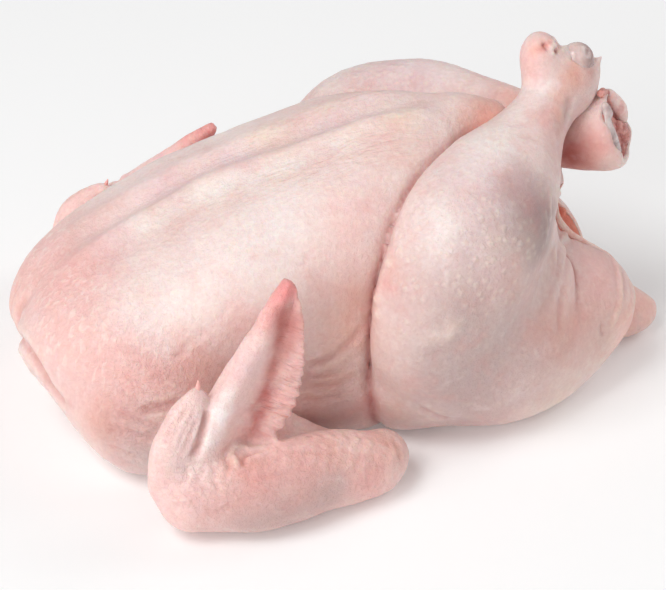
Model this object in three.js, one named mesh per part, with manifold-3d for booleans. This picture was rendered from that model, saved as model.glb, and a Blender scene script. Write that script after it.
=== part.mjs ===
// A whole raw chicken, plucked and drawn, lying on its back with its shanks crossed.
//
// Units are millimetres. +X runs from the neck to the tail, +Z is up, and the bird's right side faces -Y.
// The origin is on the flat spot of the back that the bird rests on, under the middle of the breast.
//
// Each muscle is an ellipsoid, and each limb a row of round cones along a smooth path. Both are fields: they
// give the distance of a point from their surface, negative inside. Fields are blended with a soft minimum,
// as skin bridges the fold between two muscles, and a surface net turns the blend into triangles. The wings
// are netted more finely than the body, because their tips are thin, and are then joined to it.

import * as THREE from "three";
import * as BufferGeometryUtils from "three/addons/utils/BufferGeometryUtils.js";
import Module from "manifold-3d";

// ---- Driving dimensions ----------------------------------------------------------------------------------

// The trunk. Pieces marked "side" are on the left and are repeated on the right.
const RIBS = { centre: [-28, 0, 42], radii: [88, 56, 42], pitch: -4 };
const BACK = { centre: [-10, 0, 18], radii: [95, 56, 21] };
const BREAST_SIDE = { centre: [-30, 23, 64], radii: [80, 36, 33], yaw: -9, pitch: -23 };
const NECK_SIDE = { centre: [-93, 14, 45.5], radii: [36, 30, 21.5], pitch: -18 };
const SHOULDER_SIDE = { centre: [-80, 44, 21], radii: [29, 27, 24] };
const KEEL = {
  path: [
    [-92, 0, 55, 12], [-58, 0, 75, 11], [-30, 0, 89, 11], [-5, 0, 95, 11],
    [20, 0, 99, 12], [45, 0, 103, 9.5], [58, 0, 101, 8],
  ],
};
const PELVIS = { centre: [62, 0, 27], radii: [44, 40, 27] };
const BELLY = { centre: [58, 0, 60], radii: [34, 32, 34], pitch: 24 };
const TAIL = {
  path: [[88, 0, 18, 22], [106, -3, 11, 17], [122, -4, 7.5, 10.5]],
  flatAlong: [0.12, 0, 1],
  flatness: 1.7,
};

// The furrow along the breast, its two crests, and the shallow dip of the keel line over the ribs.
const FURROW = { from: -118, full: -85, fade: 10, to: 46, depth: 2.4, halfWidth: 8 };
const FURROW_AT_NECK = { depth: 1.6, at: -85, halfLength: 25 };
const CREST = { height: 0.8, offset: 14, halfWidth: 7 };
const BREAST_DIP = { depth: 3, at: -25, halfLength: 26 };
const BREAST_TOP = { from: 35, full: 60 };

// The vent, the opening between the tail and the tip of the keel.
const VENT = {
  path: [[40, 0, 52, 17], [80, 0, 48, 20], [104, 0, 46, 21], [135, 0, 52, 26]],
  flatAlong: [0.3, 0, -1],
  flatness: 1.15,
};
const VENT_RIM = 5;

// The right leg. The left one is its mirror image, apart from the drumstick, which crosses under. The fold
// is the fillet between a leg and the trunk.
const LEG_FOLD = 8;
const THIGH = { centre: [34, -49, 34], radii: [43, 26, 31], roll: -14 };
const KNEE = { centre: [16, -55, 46], radii: [24, 21, 32], yaw: 8 };
const HIP = { centre: [57, -39, 17], radii: [33, 27, 21], yaw: 14 };
const RUMP = { centre: [74, -26, 32], radii: [34, 27, 30], pitch: 8 };
const HAM = { path: [[62, -24, 86, 8], [61, -33, 74, 11], [62, -43, 56, 14.5]] };
const RIGHT_DRUMSTICK = {
  path: [
    [16, -55, 50, 22], [34, -50, 67, 26], [50, -38, 82, 22],
    [64, -24, 96, 15], [74, -13, 108, 10.5], [81, -6, 116, 10],
  ],
  steps: 8,
};
const RIGHT_HOCK_LOBE = { centre: [76.5, -5, 126], radii: [8.5, 8.5, 11], pitch: -12 };
const RIGHT_HOCK_KNOB = { centre: [89.5, -4, 119], radii: [8, 8, 9] };
const RIGHT_HEEL = { centre: [91.5, -4, 110], radii: [9.5, 8, 11] };
const LEFT_DRUMSTICK = {
  path: [
    [8, 56, 54, 22], [24, 56, 70, 27.5], [47, 45, 83, 21],
    [72, 22, 90, 12.5], [88, 4, 91, 10.5], [102, -5, 92, 15],
  ],
  steps: 8,
};
const LEFT_HOCK_CUT = { point: [112.5, -7, 92], normal: [0.95, -0.28, 0.05], round: 4 };

// The right wing, folded with its elbow towards the knee. The left one is its mirror image with other tips.
const UPPER_ARM = { path: [[-76, -48, 26, 15], [-50, -62, 20, 16], [-14, -80, 14, 11]] };
const FOREARM = {
  path: [[-7, -86, 16, 9], [-14, -88, 14, 11], [-28, -91, 14, 13], [-54, -93, 15, 14.5], [-77, -91, 15, 13]],
};
const WRIST = [-74, -89, 22];
const THUMB_ROOT = [-84, -89, 22];
const RIGHT_TIPS = { hand: [-40, -78, 84], thumb: [-77, -85, 50] };
const LEFT_TIPS = { hand: [-34, -76, 73], thumb: [-89, -84, 42] };

// How finely the surface is netted: the side of a cell.
const BODY_CELL = 6.4;
const WING_CELL = 4.8;

const SKIN_COLOUR = 0xe3b3a6;
const SKIN_ROUGHNESS = 0.45;

// ---- Fields: distance from a surface, negative inside ----------------------------------------------------

const softMin = (a, b, round) => {
  const overlap = Math.max(round - Math.abs(a - b), 0) / round;
  return Math.min(a, b) - (overlap * overlap * round) / 4;
};
const softMax = (a, b, round) => -softMin(-a, -b, round);
const hump = (value, at, halfWidth) => Math.exp(-(((value - at) / halfWidth) ** 2));

function ellipsoid({ centre, radii, yaw = 0, pitch = 0, roll = 0 }) {
  const angles = [roll, pitch, yaw].map(THREE.MathUtils.degToRad);
  const toLocal = new THREE.Matrix4().makeRotationFromEuler(new THREE.Euler(...angles, "ZYX")).transpose();
  const middle = new THREE.Vector3(...centre);
  const size = new THREE.Vector3(...radii);
  const local = new THREE.Vector3();
  return (point) => {
    local.copy(point).sub(middle).applyMatrix4(toLocal).divide(size);
    const reach = local.length();
    return (reach * (reach - 1)) / (local.divide(size).length() + 1e-9);
  };
}

// A limb along a smooth path of [x, y, z, radius] points. A flattened limb is thinner along one direction:
// points are stretched along it about the limb's middle before the distance to the round limb is taken.
function limb({ path, steps = 5, flatAlong = [0, 0, 1], flatness = 1 }) {
  const smooth = (points) => new THREE.CatmullRomCurve3(points, false, "catmullrom", 0.5);
  const centreLine = smooth(path.map(([x, y, z]) => new THREE.Vector3(x, y, z)));
  const radiusLine = smooth(path.map(([, , , radius]) => new THREE.Vector3(radius, 0, 0)));
  const spans = (path.length - 1) * steps;
  const joints = centreLine.getPoints(spans);
  const radii = radiusLine.getPoints(spans).map((value) => value.x);

  const thin = new THREE.Vector3(...flatAlong).normalize();
  const middle = joints.reduce((sum, joint) => sum.add(joint), new THREE.Vector3()).divideScalar(joints.length);
  const stretch = (point) => point.addScaledVector(thin, (point.dot(thin) - middle.dot(thin)) * (flatness - 1));
  joints.forEach(stretch);
  const bones = radii.slice(1).map((endRadius, i) => ({
    start: joints[i],
    along: joints[i + 1].clone().sub(joints[i]),
    startRadius: radii[i],
    taper: endRadius - radii[i],
  }));

  const from = new THREE.Vector3();
  const stretched = new THREE.Vector3();
  return (point) => {
    stretch(stretched.copy(point));
    let nearest = Infinity;
    for (const { start, along, startRadius, taper } of bones) {
      from.copy(stretched).sub(start);
      const share = THREE.MathUtils.clamp(from.dot(along) / along.lengthSq(), 0, 1);
      const distance = from.addScaledVector(along, -share).length();
      nearest = Math.min(nearest, distance - startRadius - taper * share);
    }
    return nearest / Math.sqrt(flatness);
  };
}

// blend(first, [round, next], ...) joins each next field to the ones before it with its own fillet.
function blend(first, ...others) {
  return (point) => others.reduce((nearest, [round, field]) => softMin(nearest, field(point), round), first(point));
}

function mirrored(field) {
  const flipped = new THREE.Vector3();
  return (point) => field(flipped.set(point.x, -point.y, point.z));
}

// Repeats a left-hand field on the right, rounded where the two halves meet.
function onBothSides(field) {
  const seam = 2;
  const folded = new THREE.Vector3();
  return (point) => field(folded.set(point.x, Math.hypot(point.y, seam), point.z));
}

// ---- Anatomy ---------------------------------------------------------------------------------------------

function trunk() {
  const muscles = blend(
    ellipsoid(RIBS),
    [14, ellipsoid(BACK)],
    [12, onBothSides(ellipsoid(BREAST_SIDE))],
    [18, onBothSides(ellipsoid(NECK_SIDE))],
    [18, limb(KEEL)],
    [12, onBothSides(ellipsoid(SHOULDER_SIDE))],
    [18, ellipsoid(PELVIS)],
    [12, ellipsoid(BELLY)],
    [8, limb(TAIL)],
  );
  const ramp = THREE.MathUtils.smoothstep;
  return (point) => {
    const top = ramp(point.z, BREAST_TOP.from, BREAST_TOP.full);
    const along = ramp(point.x, FURROW.from, FURROW.full) * (1 - ramp(point.x, FURROW.fade, FURROW.to)) * top;
    const depth = FURROW.depth + FURROW_AT_NECK.depth * hump(point.x, FURROW_AT_NECK.at, FURROW_AT_NECK.halfLength);
    const furrow = depth * along * hump(point.y, 0, FURROW.halfWidth);
    const crest = CREST.height * along * hump(Math.abs(point.y), CREST.offset, CREST.halfWidth);
    const dip = BREAST_DIP.depth * top * hump(point.x, BREAST_DIP.at, BREAST_DIP.halfLength);
    return muscles(point) + furrow - crest + dip;
  };
}

const haunch = () => blend(ellipsoid(THIGH), [10, ellipsoid(KNEE)], [12, ellipsoid(HIP)], [10, ellipsoid(RUMP)]);

function rightLeg() {
  const drumstick = blend(limb(RIGHT_DRUMSTICK), [10, limb(HAM)]);
  const hock = blend(ellipsoid(RIGHT_HOCK_LOBE), [4, ellipsoid(RIGHT_HOCK_KNOB)], [5, ellipsoid(RIGHT_HEEL)]);
  return blend(haunch(), [12, drumstick], [6, hock]);
}

function leftLeg() {
  const drumstick = limb(LEFT_DRUMSTICK);
  const cutPoint = new THREE.Vector3(...LEFT_HOCK_CUT.point);
  const cutNormal = new THREE.Vector3(...LEFT_HOCK_CUT.normal);
  const cutDrumstick = (point) => {
    const beyondCut = point.dot(cutNormal) - cutPoint.dot(cutNormal);
    return softMax(drumstick(point), beyondCut, LEFT_HOCK_CUT.round);
  };
  return blend(mirrored(haunch()), [12, cutDrumstick]);
}

// The hand rises from the wrist to its tip: a round bone with a thin web behind it, and the thumb in front.
function rightWing(tips) {
  const towardsTip = (share, x, y, z) => WRIST.map((from, i) => from + (tips.hand[i] - from) * share + [x, y, z][i]);
  const bone = {
    path: [
      [...WRIST, 10],
      [...towardsTip(0.35, -1, -1, 0), 7.5],
      [...towardsTip(0.7, 0, 0, 0), 6],
      [...tips.hand, 2.5],
    ],
  };
  const web = {
    path: [
      [...towardsTip(0, 12, 5, 8), 9],
      [...towardsTip(0.35, 11, 3, 0), 9.5],
      [...towardsTip(0.7, 4, 2, -2), 7],
    ],
    flatAlong: [0.25, -1, 0.2],
    flatness: 2,
  };
  const [x, y, z] = tips.thumb;
  const thumb = { path: [[...THUMB_ROOT, 9], [x - 3, y - 2, z - 14, 7], [...tips.thumb, 4.2]] };
  const hand = blend(limb(bone), [5, limb(web)]);
  return blend(limb(UPPER_ARM), [8, limb(FOREARM)], [6, hand], [3, limb(thumb)]);
}

function body() {
  const solid = blend(trunk(), [LEG_FOLD, rightLeg()], [LEG_FOLD, leftLeg()]);
  const vent = limb(VENT);
  return (point) => softMax(solid(point), -vent(point), VENT_RIM);
}

// ---- Surface net -----------------------------------------------------------------------------------------

// The corners of a cell, and the corner pairs that its 12 edges join. Bit 2 is x, bit 1 is y and bit 0 is z.
const CORNERS = [0, 1, 2, 3, 4, 5, 6, 7].map((bits) => [bits >> 2, (bits >> 1) & 1, bits & 1]);
const EDGES = CORNERS.flatMap((_, a) => [4, 2, 1].filter((bit) => !(a & bit)).map((bit) => [a, a | bit]));
// Each face of a cell as its four corners in order round it, and the four diagonals of the cell.
const FACES = [4, 2, 1].flatMap((bit) => {
  const [u, v] = [4, 2, 1].filter((other) => other !== bit);
  return [0, bit].map((side) => [side, side | u, side | u | v, side | v]);
});
const DIAGONALS = [0, 1, 2, 3].map((corner) => [corner, 7 - corner]);

class Grid {
  constructor(field, box, step) {
    this.step = step;
    this.low = box.min;
    this.count = box.getSize(new THREE.Vector3()).toArray().map((side) => Math.ceil(side / step) + 1);
    this.strides = [this.count[1] * this.count[2], this.count[2], 1];
    this.values = new Float32Array(this.count[0] * this.strides[0]);
    this.eachPoint(0, (at, i, j, k) => {
      this.values[at] = field(this.place(i, j, k));
    });
    this.corners = CORNERS.map((corner) => this.offset(...corner));
  }

  offset(i, j, k) {
    return i * this.strides[0] + j * this.strides[1] + k;
  }

  place(i, j, k) {
    return new THREE.Vector3(i, j, k).multiplyScalar(this.step).add(this.low);
  }

  // Visits every grid point, or with short = 1 the low corner of every cell.
  eachPoint(short, visit) {
    for (let i = 0; i < this.count[0] - short; i++) {
      for (let j = 0; j < this.count[1] - short; j++) {
        for (let k = 0; k < this.count[2] - short; k++) visit(this.offset(i, j, k), i, j, k);
      }
    }
  }

  isInside(at) {
    return this.values[at] < 0;
  }

  // Fills the cells where two sheets of the surface would touch at an edge or a corner, until none is left.
  closePinches() {
    let changed = true;
    const fill = (at) => {
      this.values[at] = -0.1 * this.step;
      changed = true;
    };
    while (changed) {
      changed = false;
      this.eachPoint(1, (low) => {
        const at = this.corners.map((corner) => low + corner);
        for (const [a, b, c, d] of FACES) {
          const [one, two, three, four] = [a, b, c, d].map((corner) => this.isInside(at[corner]));
          if (one === three && two === four && one !== two) fill(one ? at[b] : at[a]);
        }
        const filled = at.filter((corner) => this.isInside(corner)).length;
        for (const [a, b] of DIAGONALS) {
          const alike = this.isInside(at[a]) === this.isInside(at[b]);
          if (filled === 6 && alike && !this.isInside(at[a])) [a, b].forEach((corner) => fill(at[corner]));
          if (filled === 2 && alike && this.isInside(at[a])) [a ^ 4, a ^ 6].forEach((corner) => fill(at[corner]));
        }
      });
    }
  }

  // Fills the hollows that nothing can reach from the grid's own corner.
  fillSealedHollows() {
    const reached = new Uint8Array(this.values.length);
    const open = [0];
    reached[0] = 1;
    while (open.length > 0) {
      const at = open.pop();
      for (const stride of this.strides) {
        for (const next of [at - stride, at + stride]) {
          if (next < 0 || next >= reached.length || reached[next] || this.isInside(next)) continue;
          reached[next] = 1;
          open.push(next);
        }
      }
    }
    reached.forEach((isReached, at) => {
      if (!isReached && !this.isInside(at)) this.values[at] = -0.1 * this.step;
    });
  }
}

// Moves a point onto the zero level of the field, by no more than the given reach.
function settle(point, field, reach) {
  const probe = 0.5;
  for (let pass = 0; pass < 2; pass++) {
    const slope = new THREE.Vector3(...[0, 1, 2].map((axis) => {
      const ahead = point.clone().setComponent(axis, point.getComponent(axis) + probe);
      const behind = point.clone().setComponent(axis, point.getComponent(axis) - probe);
      return (field(ahead) - field(behind)) / (2 * probe);
    }));
    const move = THREE.MathUtils.clamp(field(point) / Math.max(slope.lengthSq(), 0.2), -reach, reach);
    point.addScaledVector(slope, -move);
  }
  return point;
}

// One vertex in every cell that the surface crosses, and two triangles round every grid edge that it crosses.
function surfaceNet(field, box, step) {
  const grid = new Grid(field, box, step);
  grid.fillSealedHollows();
  grid.closePinches();
  const vertexOf = new Map();
  const positions = [];
  grid.eachPoint(1, (low, i, j, k) => {
    const crossings = EDGES.flatMap(([a, b]) => {
      const [from, to] = [grid.values[low + grid.corners[a]], grid.values[low + grid.corners[b]]];
      if (from < 0 === to < 0) return [];
      const start = new THREE.Vector3(...CORNERS[a]);
      return [start.lerp(new THREE.Vector3(...CORNERS[b]), from / (from - to))];
    });
    if (crossings.length === 0) return;
    const middle = crossings.reduce((sum, point) => sum.add(point), new THREE.Vector3());
    middle.divideScalar(crossings.length).multiplyScalar(step).add(grid.place(i, j, k));
    vertexOf.set(low, positions.length);
    positions.push(settle(middle, field, step / 4));
  });

  const triangles = [];
  grid.eachPoint(1, (at) => {
    grid.strides.forEach((stride, axis) => {
      if (grid.isInside(at) === grid.isInside(at + stride)) return;
      const [u, v] = [grid.strides[(axis + 1) % 3], grid.strides[(axis + 2) % 3]];
      const ring = [at - u - v, at - v, at, at - u].map((cell) => vertexOf.get(cell));
      const [a, b, c, d] = grid.isInside(at) ? ring : ring.reverse();
      const shortAcross = positions[a].distanceTo(positions[c]) < positions[b].distanceTo(positions[d]);
      triangles.push(...(shortAcross ? [a, b, c, a, c, d] : [a, b, d, b, c, d]));
    });
  });

  const geometry = new THREE.BufferGeometry().setFromPoints(positions);
  geometry.setIndex(triangles);
  return geometry;
}

// ---- Joining ---------------------------------------------------------------------------------------------

const wasm = await Module();
wasm.setup();

function toSolid(geometry) {
  return new wasm.Manifold(new wasm.Mesh({
    numProp: 3,
    vertProperties: new Float32Array(geometry.attributes.position.array),
    triVerts: new Uint32Array(geometry.index.array),
  }));
}

function toGeometry(solid) {
  const mesh = solid.getMesh();
  const geometry = new THREE.BufferGeometry();
  geometry.setAttribute("position", new THREE.BufferAttribute(mesh.vertProperties, 3));
  geometry.setIndex(new THREE.BufferAttribute(mesh.triVerts, 1));
  return geometry;
}

// Everything below the table top, which cuts the flat spots that the bird rests on.
function belowTable() {
  const [length, width, depth] = [400, 300, 40];
  const block = new THREE.BoxGeometry(length, width, depth).translate(0, 0, -depth / 2);
  block.deleteAttribute("normal");
  block.deleteAttribute("uv");
  return toSolid(BufferGeometryUtils.mergeVertices(block));
}

const box = (low, high) => new THREE.Box3(new THREE.Vector3(...low), new THREE.Vector3(...high));

function chicken() {
  const trunkAndLegs = surfaceNet(body(), box([-141, -88, -14], [145, 92, 148]), BODY_CELL);
  const right = surfaceNet(rightWing(RIGHT_TIPS), box([-104, -118, -12], [10, -26, 96]), WING_CELL);
  const left = surfaceNet(mirrored(rightWing(LEFT_TIPS)), box([-104, 26, -12], [10, 118, 88]), WING_CELL);
  const joined = toSolid(trunkAndLegs).add(toSolid(right)).add(toSolid(left));
  return toGeometry(joined.subtract(belowTable()));
}

const skin = new THREE.MeshStandardMaterial({ color: SKIN_COLOUR, roughness: SKIN_ROUGHNESS, metalness: 0 });
const mesh = new THREE.Mesh(chicken(), skin);
mesh.name = "chicken";

const bird = new THREE.Group();
bird.add(mesh);
export default bird;
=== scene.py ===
# %% [markdown]
# # A whole raw chicken
#
# The bird lies on its back, plucked and drawn, with its shanks crossed and its wings folded. A chicken has no
# flat or turned parts, so nothing here starts from a cube or a cylinder. Each muscle is written as a distance
# formula, the formulas are blended as skin bridges the folds between muscles, and the blend is turned into a
# fine mesh. Small relief, colour zones and a moist skin material come on top of that.

# %% Load the frame and keep its box
import time

import bpy
import numpy as np
from mathutils import Matrix, Vector


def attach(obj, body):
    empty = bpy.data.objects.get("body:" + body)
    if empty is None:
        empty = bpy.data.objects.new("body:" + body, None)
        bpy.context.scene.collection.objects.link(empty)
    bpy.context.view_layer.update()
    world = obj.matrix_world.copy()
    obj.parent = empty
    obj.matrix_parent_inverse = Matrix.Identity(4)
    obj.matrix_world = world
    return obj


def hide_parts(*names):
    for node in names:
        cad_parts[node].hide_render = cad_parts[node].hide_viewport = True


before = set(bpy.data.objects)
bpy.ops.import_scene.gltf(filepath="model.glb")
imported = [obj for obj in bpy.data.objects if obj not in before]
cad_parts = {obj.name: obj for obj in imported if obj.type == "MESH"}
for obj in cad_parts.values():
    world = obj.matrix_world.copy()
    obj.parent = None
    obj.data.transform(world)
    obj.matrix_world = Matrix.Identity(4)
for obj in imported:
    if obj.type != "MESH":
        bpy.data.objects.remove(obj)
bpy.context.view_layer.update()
started = time.time()
MM = 0.001  # the formulas work in millimetres, Blender in metres

# %% [markdown]
# ## Camera first
#
# Many folds and marks are easiest to place by the pixel they are seen at: "this crease starts just below the
# wing". So the camera comes before the bird. It is a long lens, a little above and in front of the bird's
# right side. Its numbers are kept, because later cells send rays out through single pixels of its 666 by 590
# frame.

# %% Camera
FRAME = (666, 590)
FOCAL = 2210  # pixels
SENSOR = 36  # mm
DISTANCE = 850
TARGET = np.array([0, 0, 60.0])  # this point is seen at TARGET_AT
TARGET_AT = (340, 232)
azimuth, elevation = np.radians(-15), np.radians(30)
TOWARDS_CAMERA = np.array([
    np.sin(azimuth) * np.cos(elevation), -np.cos(azimuth) * np.cos(elevation), np.sin(elevation)])
CAMERA_RIGHT = np.array([np.cos(azimuth), np.sin(azimuth), 0])
CAMERA_UP = np.cross(TOWARDS_CAMERA, CAMERA_RIGHT)
EYE = TARGET + TOWARDS_CAMERA * DISTANCE


def make_camera():
    """Aims at the point seen in the middle of the frame, so that no lens shift is needed."""
    across, down = FRAME[0] / 2 - TARGET_AT[0], FRAME[1] / 2 - TARGET_AT[1]
    aim = TARGET + (CAMERA_RIGHT * across - CAMERA_UP * down) * DISTANCE / FOCAL
    camera = bpy.data.objects.new("camera", bpy.data.cameras.new("camera"))
    camera.data.sensor_width = SENSOR
    camera.data.lens = SENSOR * FOCAL / FRAME[0]
    camera.data.clip_start, camera.data.clip_end = 0.05, 20
    camera.location = EYE * MM
    camera.rotation_mode = "QUATERNION"
    camera.rotation_quaternion = Vector(aim - EYE).to_track_quat("-Z", "Y")
    bpy.context.scene.collection.objects.link(camera)
    bpy.context.scene.camera = camera
    return camera


def rays_through(pixels):
    """The ways from the eye through pixels: one step towards the target, plus the pixel's offset from the
    target's pixel over the focal length, across and up."""
    pixels = np.array(pixels, float).reshape(-1, 2)
    across, up = (pixels[:, 0] - TARGET_AT[0]) / FOCAL, (TARGET_AT[1] - pixels[:, 1]) / FOCAL
    return across[:, None] * CAMERA_RIGHT + up[:, None] * CAMERA_UP - TOWARDS_CAMERA


camera = make_camera()
print("camera at", EYE.round(), "mm, lens", round(camera.data.lens, 1), "mm")

# %% [markdown]
# ## Distance formulas
#
# A field tells how far a point is from a surface, and is negative inside it. An ellipsoid is a muscle, and a
# row of round cones along a smooth path is a limb. Metaballs could do this too, but fields written with numpy
# can be flattened, cut and blended by exactly the amount each fold needs.

# %% Soft minimum, soft maximum, ramps and humps
def soft_min(a, b, fillet):
    """The smaller of two distances. Where they differ by less than the fillet, a quarter of the fillet times
    the square of the overlap is taken off, which rounds the inner corner between the two surfaces."""
    overlap = np.maximum(fillet - np.abs(a - b), 0) / fillet
    return np.minimum(a, b) - overlap * overlap * fillet / 4


def soft_max(a, b, fillet):
    """The same for the larger distance: minus the soft minimum of the two negated distances."""
    return -soft_min(-a, -b, fillet)


def ramp(value, start, end):
    """0 before start, 1 after end, and the cubic 3 t squared minus 2 t cubed between them."""
    share = np.clip((value - start) / (end - start), 0, 1)
    return share * share * (3 - 2 * share)


def hump(value, at, half_width):
    """A bell curve: e to the power of minus the squared distance from its middle, in half widths."""
    return np.exp(-(((value - at) / half_width) ** 2))


print("a fillet of 6 mm fills a corner by", -soft_min(0.0, 0.0, 6), "mm")

# %% Ellipsoids, the muscles
def turn(yaw=0, pitch=0, roll=0):
    """Rotation matrix for a roll about X, then a pitch about Y, then a yaw about Z, in degrees."""
    axes = ((roll, "X"), (pitch, "Y"), (yaw, "Z"))
    x, y, z = (np.array(Matrix.Rotation(np.radians(angle), 3, axis)) for angle, axis in axes)
    return z @ y @ x


def ellipsoid(points, centre, radii, yaw=0, pitch=0, roll=0):
    """With the point in the ellipsoid's own axes, k is its length after division by the radii, and m its
    length after division by the squared radii. k times (k - 1) over m is close to the true distance."""
    local = (points - np.array(centre, np.float32)) @ turn(yaw, pitch, roll).astype(np.float32)
    local /= np.array(radii, np.float32)
    reach = np.sqrt((local**2).sum(1))
    local /= np.array(radii, np.float32)
    return reach * (reach - 1) / (np.sqrt((local**2).sum(1)) + 1e-9)


ten_away = np.array([[20, 0, 0]], np.float32)
print("a point 10 mm from an ellipsoid measures", ellipsoid(ten_away, (0, 0, 0), (10, 20, 30)).round(2), "mm")


# %% Limbs, round cones along a smooth path
def smooth_path(stops, steps):
    """Catmull-Rom curve: between two stops each coordinate is the cubic that passes through both, with the
    slope at a stop equal to half the way from the stop before it to the stop after it."""
    stops = np.array(stops, float)
    padded = np.vstack([2 * stops[0] - stops[1], stops, 2 * stops[-1] - stops[-2]])
    before, start, end, after = padded[:-3, None], padded[1:-2, None], padded[2:-1, None], padded[3:, None]
    t = (np.arange(steps) / steps)[None, :, None]
    squared = 2 * before - 5 * start + 4 * end - after
    cubed = 3 * (start - end) + after - before
    curve = start + 0.5 * t * (end - before + t * (squared + t * cubed))
    return np.vstack([curve.reshape(-1, stops.shape[1]), stops[-1]])


def near_box(points, low, high, field, margin=22):
    """Far from a box, the distance to the box stands in for the field, which saves most of the work."""
    gap = np.maximum(np.maximum(low - points, points - high), 0)
    away = np.sqrt((gap**2).sum(1)).astype(np.float32)
    close = away < margin
    away[close] = field(points[close])
    return away


def round_cones(points, centres, radii):
    """For every straight bone of a path: the distance to its nearest point, less the radius there. The
    smallest of these counts."""
    nearest = np.full(len(points), np.inf, np.float32)
    for start, end, r0, r1 in zip(centres[:-1], centres[1:], radii[:-1], radii[1:]):
        bone = (end - start).astype(np.float32)
        offset = points - start.astype(np.float32)
        share = np.clip(offset @ bone / (bone @ bone), 0, 1)
        offset -= share[:, None] * bone
        nearest = np.minimum(nearest, np.sqrt((offset**2).sum(1)) - r0 - (r1 - r0) * share)
    return nearest


def limb(points, stops, steps=5, flat_along=(0, 0, 1), flatness=1.0):
    """Round cones along the smooth path. A flattened limb first stretches space along the direction it is
    thin in, and divides the distance by the root of the stretch."""
    path = smooth_path(stops, steps)
    centres, radii = path[:, :3], path[:, 3]
    low, high = (centres - radii[:, None]).min(0), (centres + radii[:, None]).max(0)
    thin = np.array(flat_along, float) / np.linalg.norm(flat_along)
    middle = centres.mean(0)
    stretched = centres + np.outer((centres - middle) @ thin, thin) * (flatness - 1)

    def exact(close):
        """The distance where it counts: the stretch moves each point, then the cones are measured."""
        reach = (close - middle) @ thin * (flatness - 1)
        return round_cones(close + (reach[:, None] * thin).astype(np.float32), stretched, radii)

    distance = near_box(points, low.astype(np.float32), high.astype(np.float32), exact)
    return distance / np.float32(flatness**0.5)


print("a smooth path through 4 stops in 5 steps each has", len(smooth_path(np.eye(4), 5)), "points")


# %% The other side of the bird
OTHER_SIDE = np.array([1, -1, 1], np.float32)
SIDE_BY_SIDE = np.array([[0, -30, 0], [0, 30, 0]], np.float32)


def mirrored(points):
    """The same points on the other side of the bird: y changes its sign."""
    return points * OTHER_SIDE


def both_sides(points, seam=2.0):
    """Every point brought to the left side: y becomes the root of y squared plus the seam squared."""
    return np.column_stack([points[:, 0], np.hypot(points[:, 1], seam), points[:, 2]]).astype(np.float32)


print("two points as far out as they are brought to the left side:", both_sides(SIDE_BY_SIDE)[:, 1].round(1))


# %% [markdown]
# ## The trunk
#
# The rib cage, the two breast muscles with the furrow between them, the keel that carries them, the
# shoulders, the pelvis, the belly skin over the vent, and the flat tail. Each line joins one more muscle, and
# its last number is the fillet in millimetres: wide where skin spans a hollow, narrow where two muscles press
# together.

# %% Trunk, furrow and vent
LEAN_ENDS = (-50, 38)  # mm, the y on the right and on the left where the breast's lean moves nothing


def trunk(points):
    """The soft minimum of all trunk muscles. The breast leans to its left by up to `lean` mm: y is stretched
    on one side of the lean and squeezed on the other. Then plus the furrow's bell curve across the leaning
    mid-line, minus the bell curves of the two crests beside it, plus a shallow dip of the keel line over the
    ribs and a flatter place beside it."""
    x, y, z = points.T
    paired = both_sides(points)
    lean = 8.5 * hump(x, -62, 48) * ramp(z, 45, 70)
    right_end, left_end = LEAN_ENDS
    across = (y - lean) * np.where(y > lean, left_end / (left_end - lean), right_end / (right_end - lean))
    leaning = np.column_stack([x, across, z]).astype(np.float32)
    breast = both_sides(leaning)
    d = soft_min(
        ellipsoid(points, (-28, 0, 42), (88, 56, 42), pitch=-4),
        ellipsoid(points, (-10, 0, 18), (95, 56, 21)), 14)  # ribs and back
    d = soft_min(d, ellipsoid(breast, (-30, 23, 64), (80, 36, 33), yaw=-9, pitch=-23), 12)  # breast muscles
    d = soft_min(d, ellipsoid(paired, (-92.6, 14, 43.8), (34.8, 30, 20.6), pitch=-18), 18)  # their front
    d = soft_min(d, ellipsoid(paired, (-95.2, 26, 26.5), (22, 24.3, 19.5)), 10)  # sides of the neck
    keel = [(-92, 0, 55, 12), (-58, 0, 75, 11), (-30, 0, 89, 11), (-5, 0, 95, 11), (20, 0, 99, 12),
            (45, 0, 103, 9.5), (58, 0, 101, 8)]
    d = soft_min(d, limb(leaning, keel), 18)
    d = soft_min(d, ellipsoid(paired, (-80, 44, 21), (29, 27, 24)), 12)  # shoulders
    d = soft_min(d, ellipsoid(paired, (-6, 36.8, 12), (35, 14, 13)), 14)  # flanks
    d = soft_min(d, ellipsoid(points, (62, 0, 27), (44, 40, 27)), 18)  # pelvis
    d = soft_min(d, ellipsoid(points, (58, 0, 60), (34, 32, 34), pitch=24), 12)  # belly skin
    top = ramp(z, 35, 60)
    along = ramp(x, -118, -85) * (1 - ramp(x, 10, 46)) * top
    furrow = (3.4 + 1.4 * hump(x, -85, 25)) * along * hump(across, 1.5, 8.5)
    crests = along * (2.0 * hump(across, -9.5, 4.5) + 0.8 * hump(across, 15, 8))
    flat = 1.4 * hump(x, -44, 18) * ramp(y, 12, 32)
    return d + furrow - crests + top * (3 * hump(x, -25, 26) + flat)


def tail(points):
    """The parson's nose: a flat limb that ends in a small blunt point."""
    stops = [(88, 0, 19, 23), (106, -3, 12, 17.5), (119, -4.6, 8.5, 12), (126.5, -4.5, 9.3, 5.5)]
    return limb(points, stops, flat_along=(0.12, 0, 1), flatness=1.35)


def vent(points):
    """The opening between the tail and the tip of the keel, as two limbs of empty space. The second one lets
    the near wall end lower than the far one."""
    stops = [(40, -1, 53, 17), (80, -2, 49.5, 21), (104, -2.5, 48.5, 23), (135, -3, 56, 29)]
    low_side = [(88, -17, 65, 10.5), (104, -17, 67, 15.5), (135, -17, 73, 21)]
    return soft_min(limb(points, stops, flat_along=(0.3, 0, -1), flatness=1.12), limb(points, low_side), 5)


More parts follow.
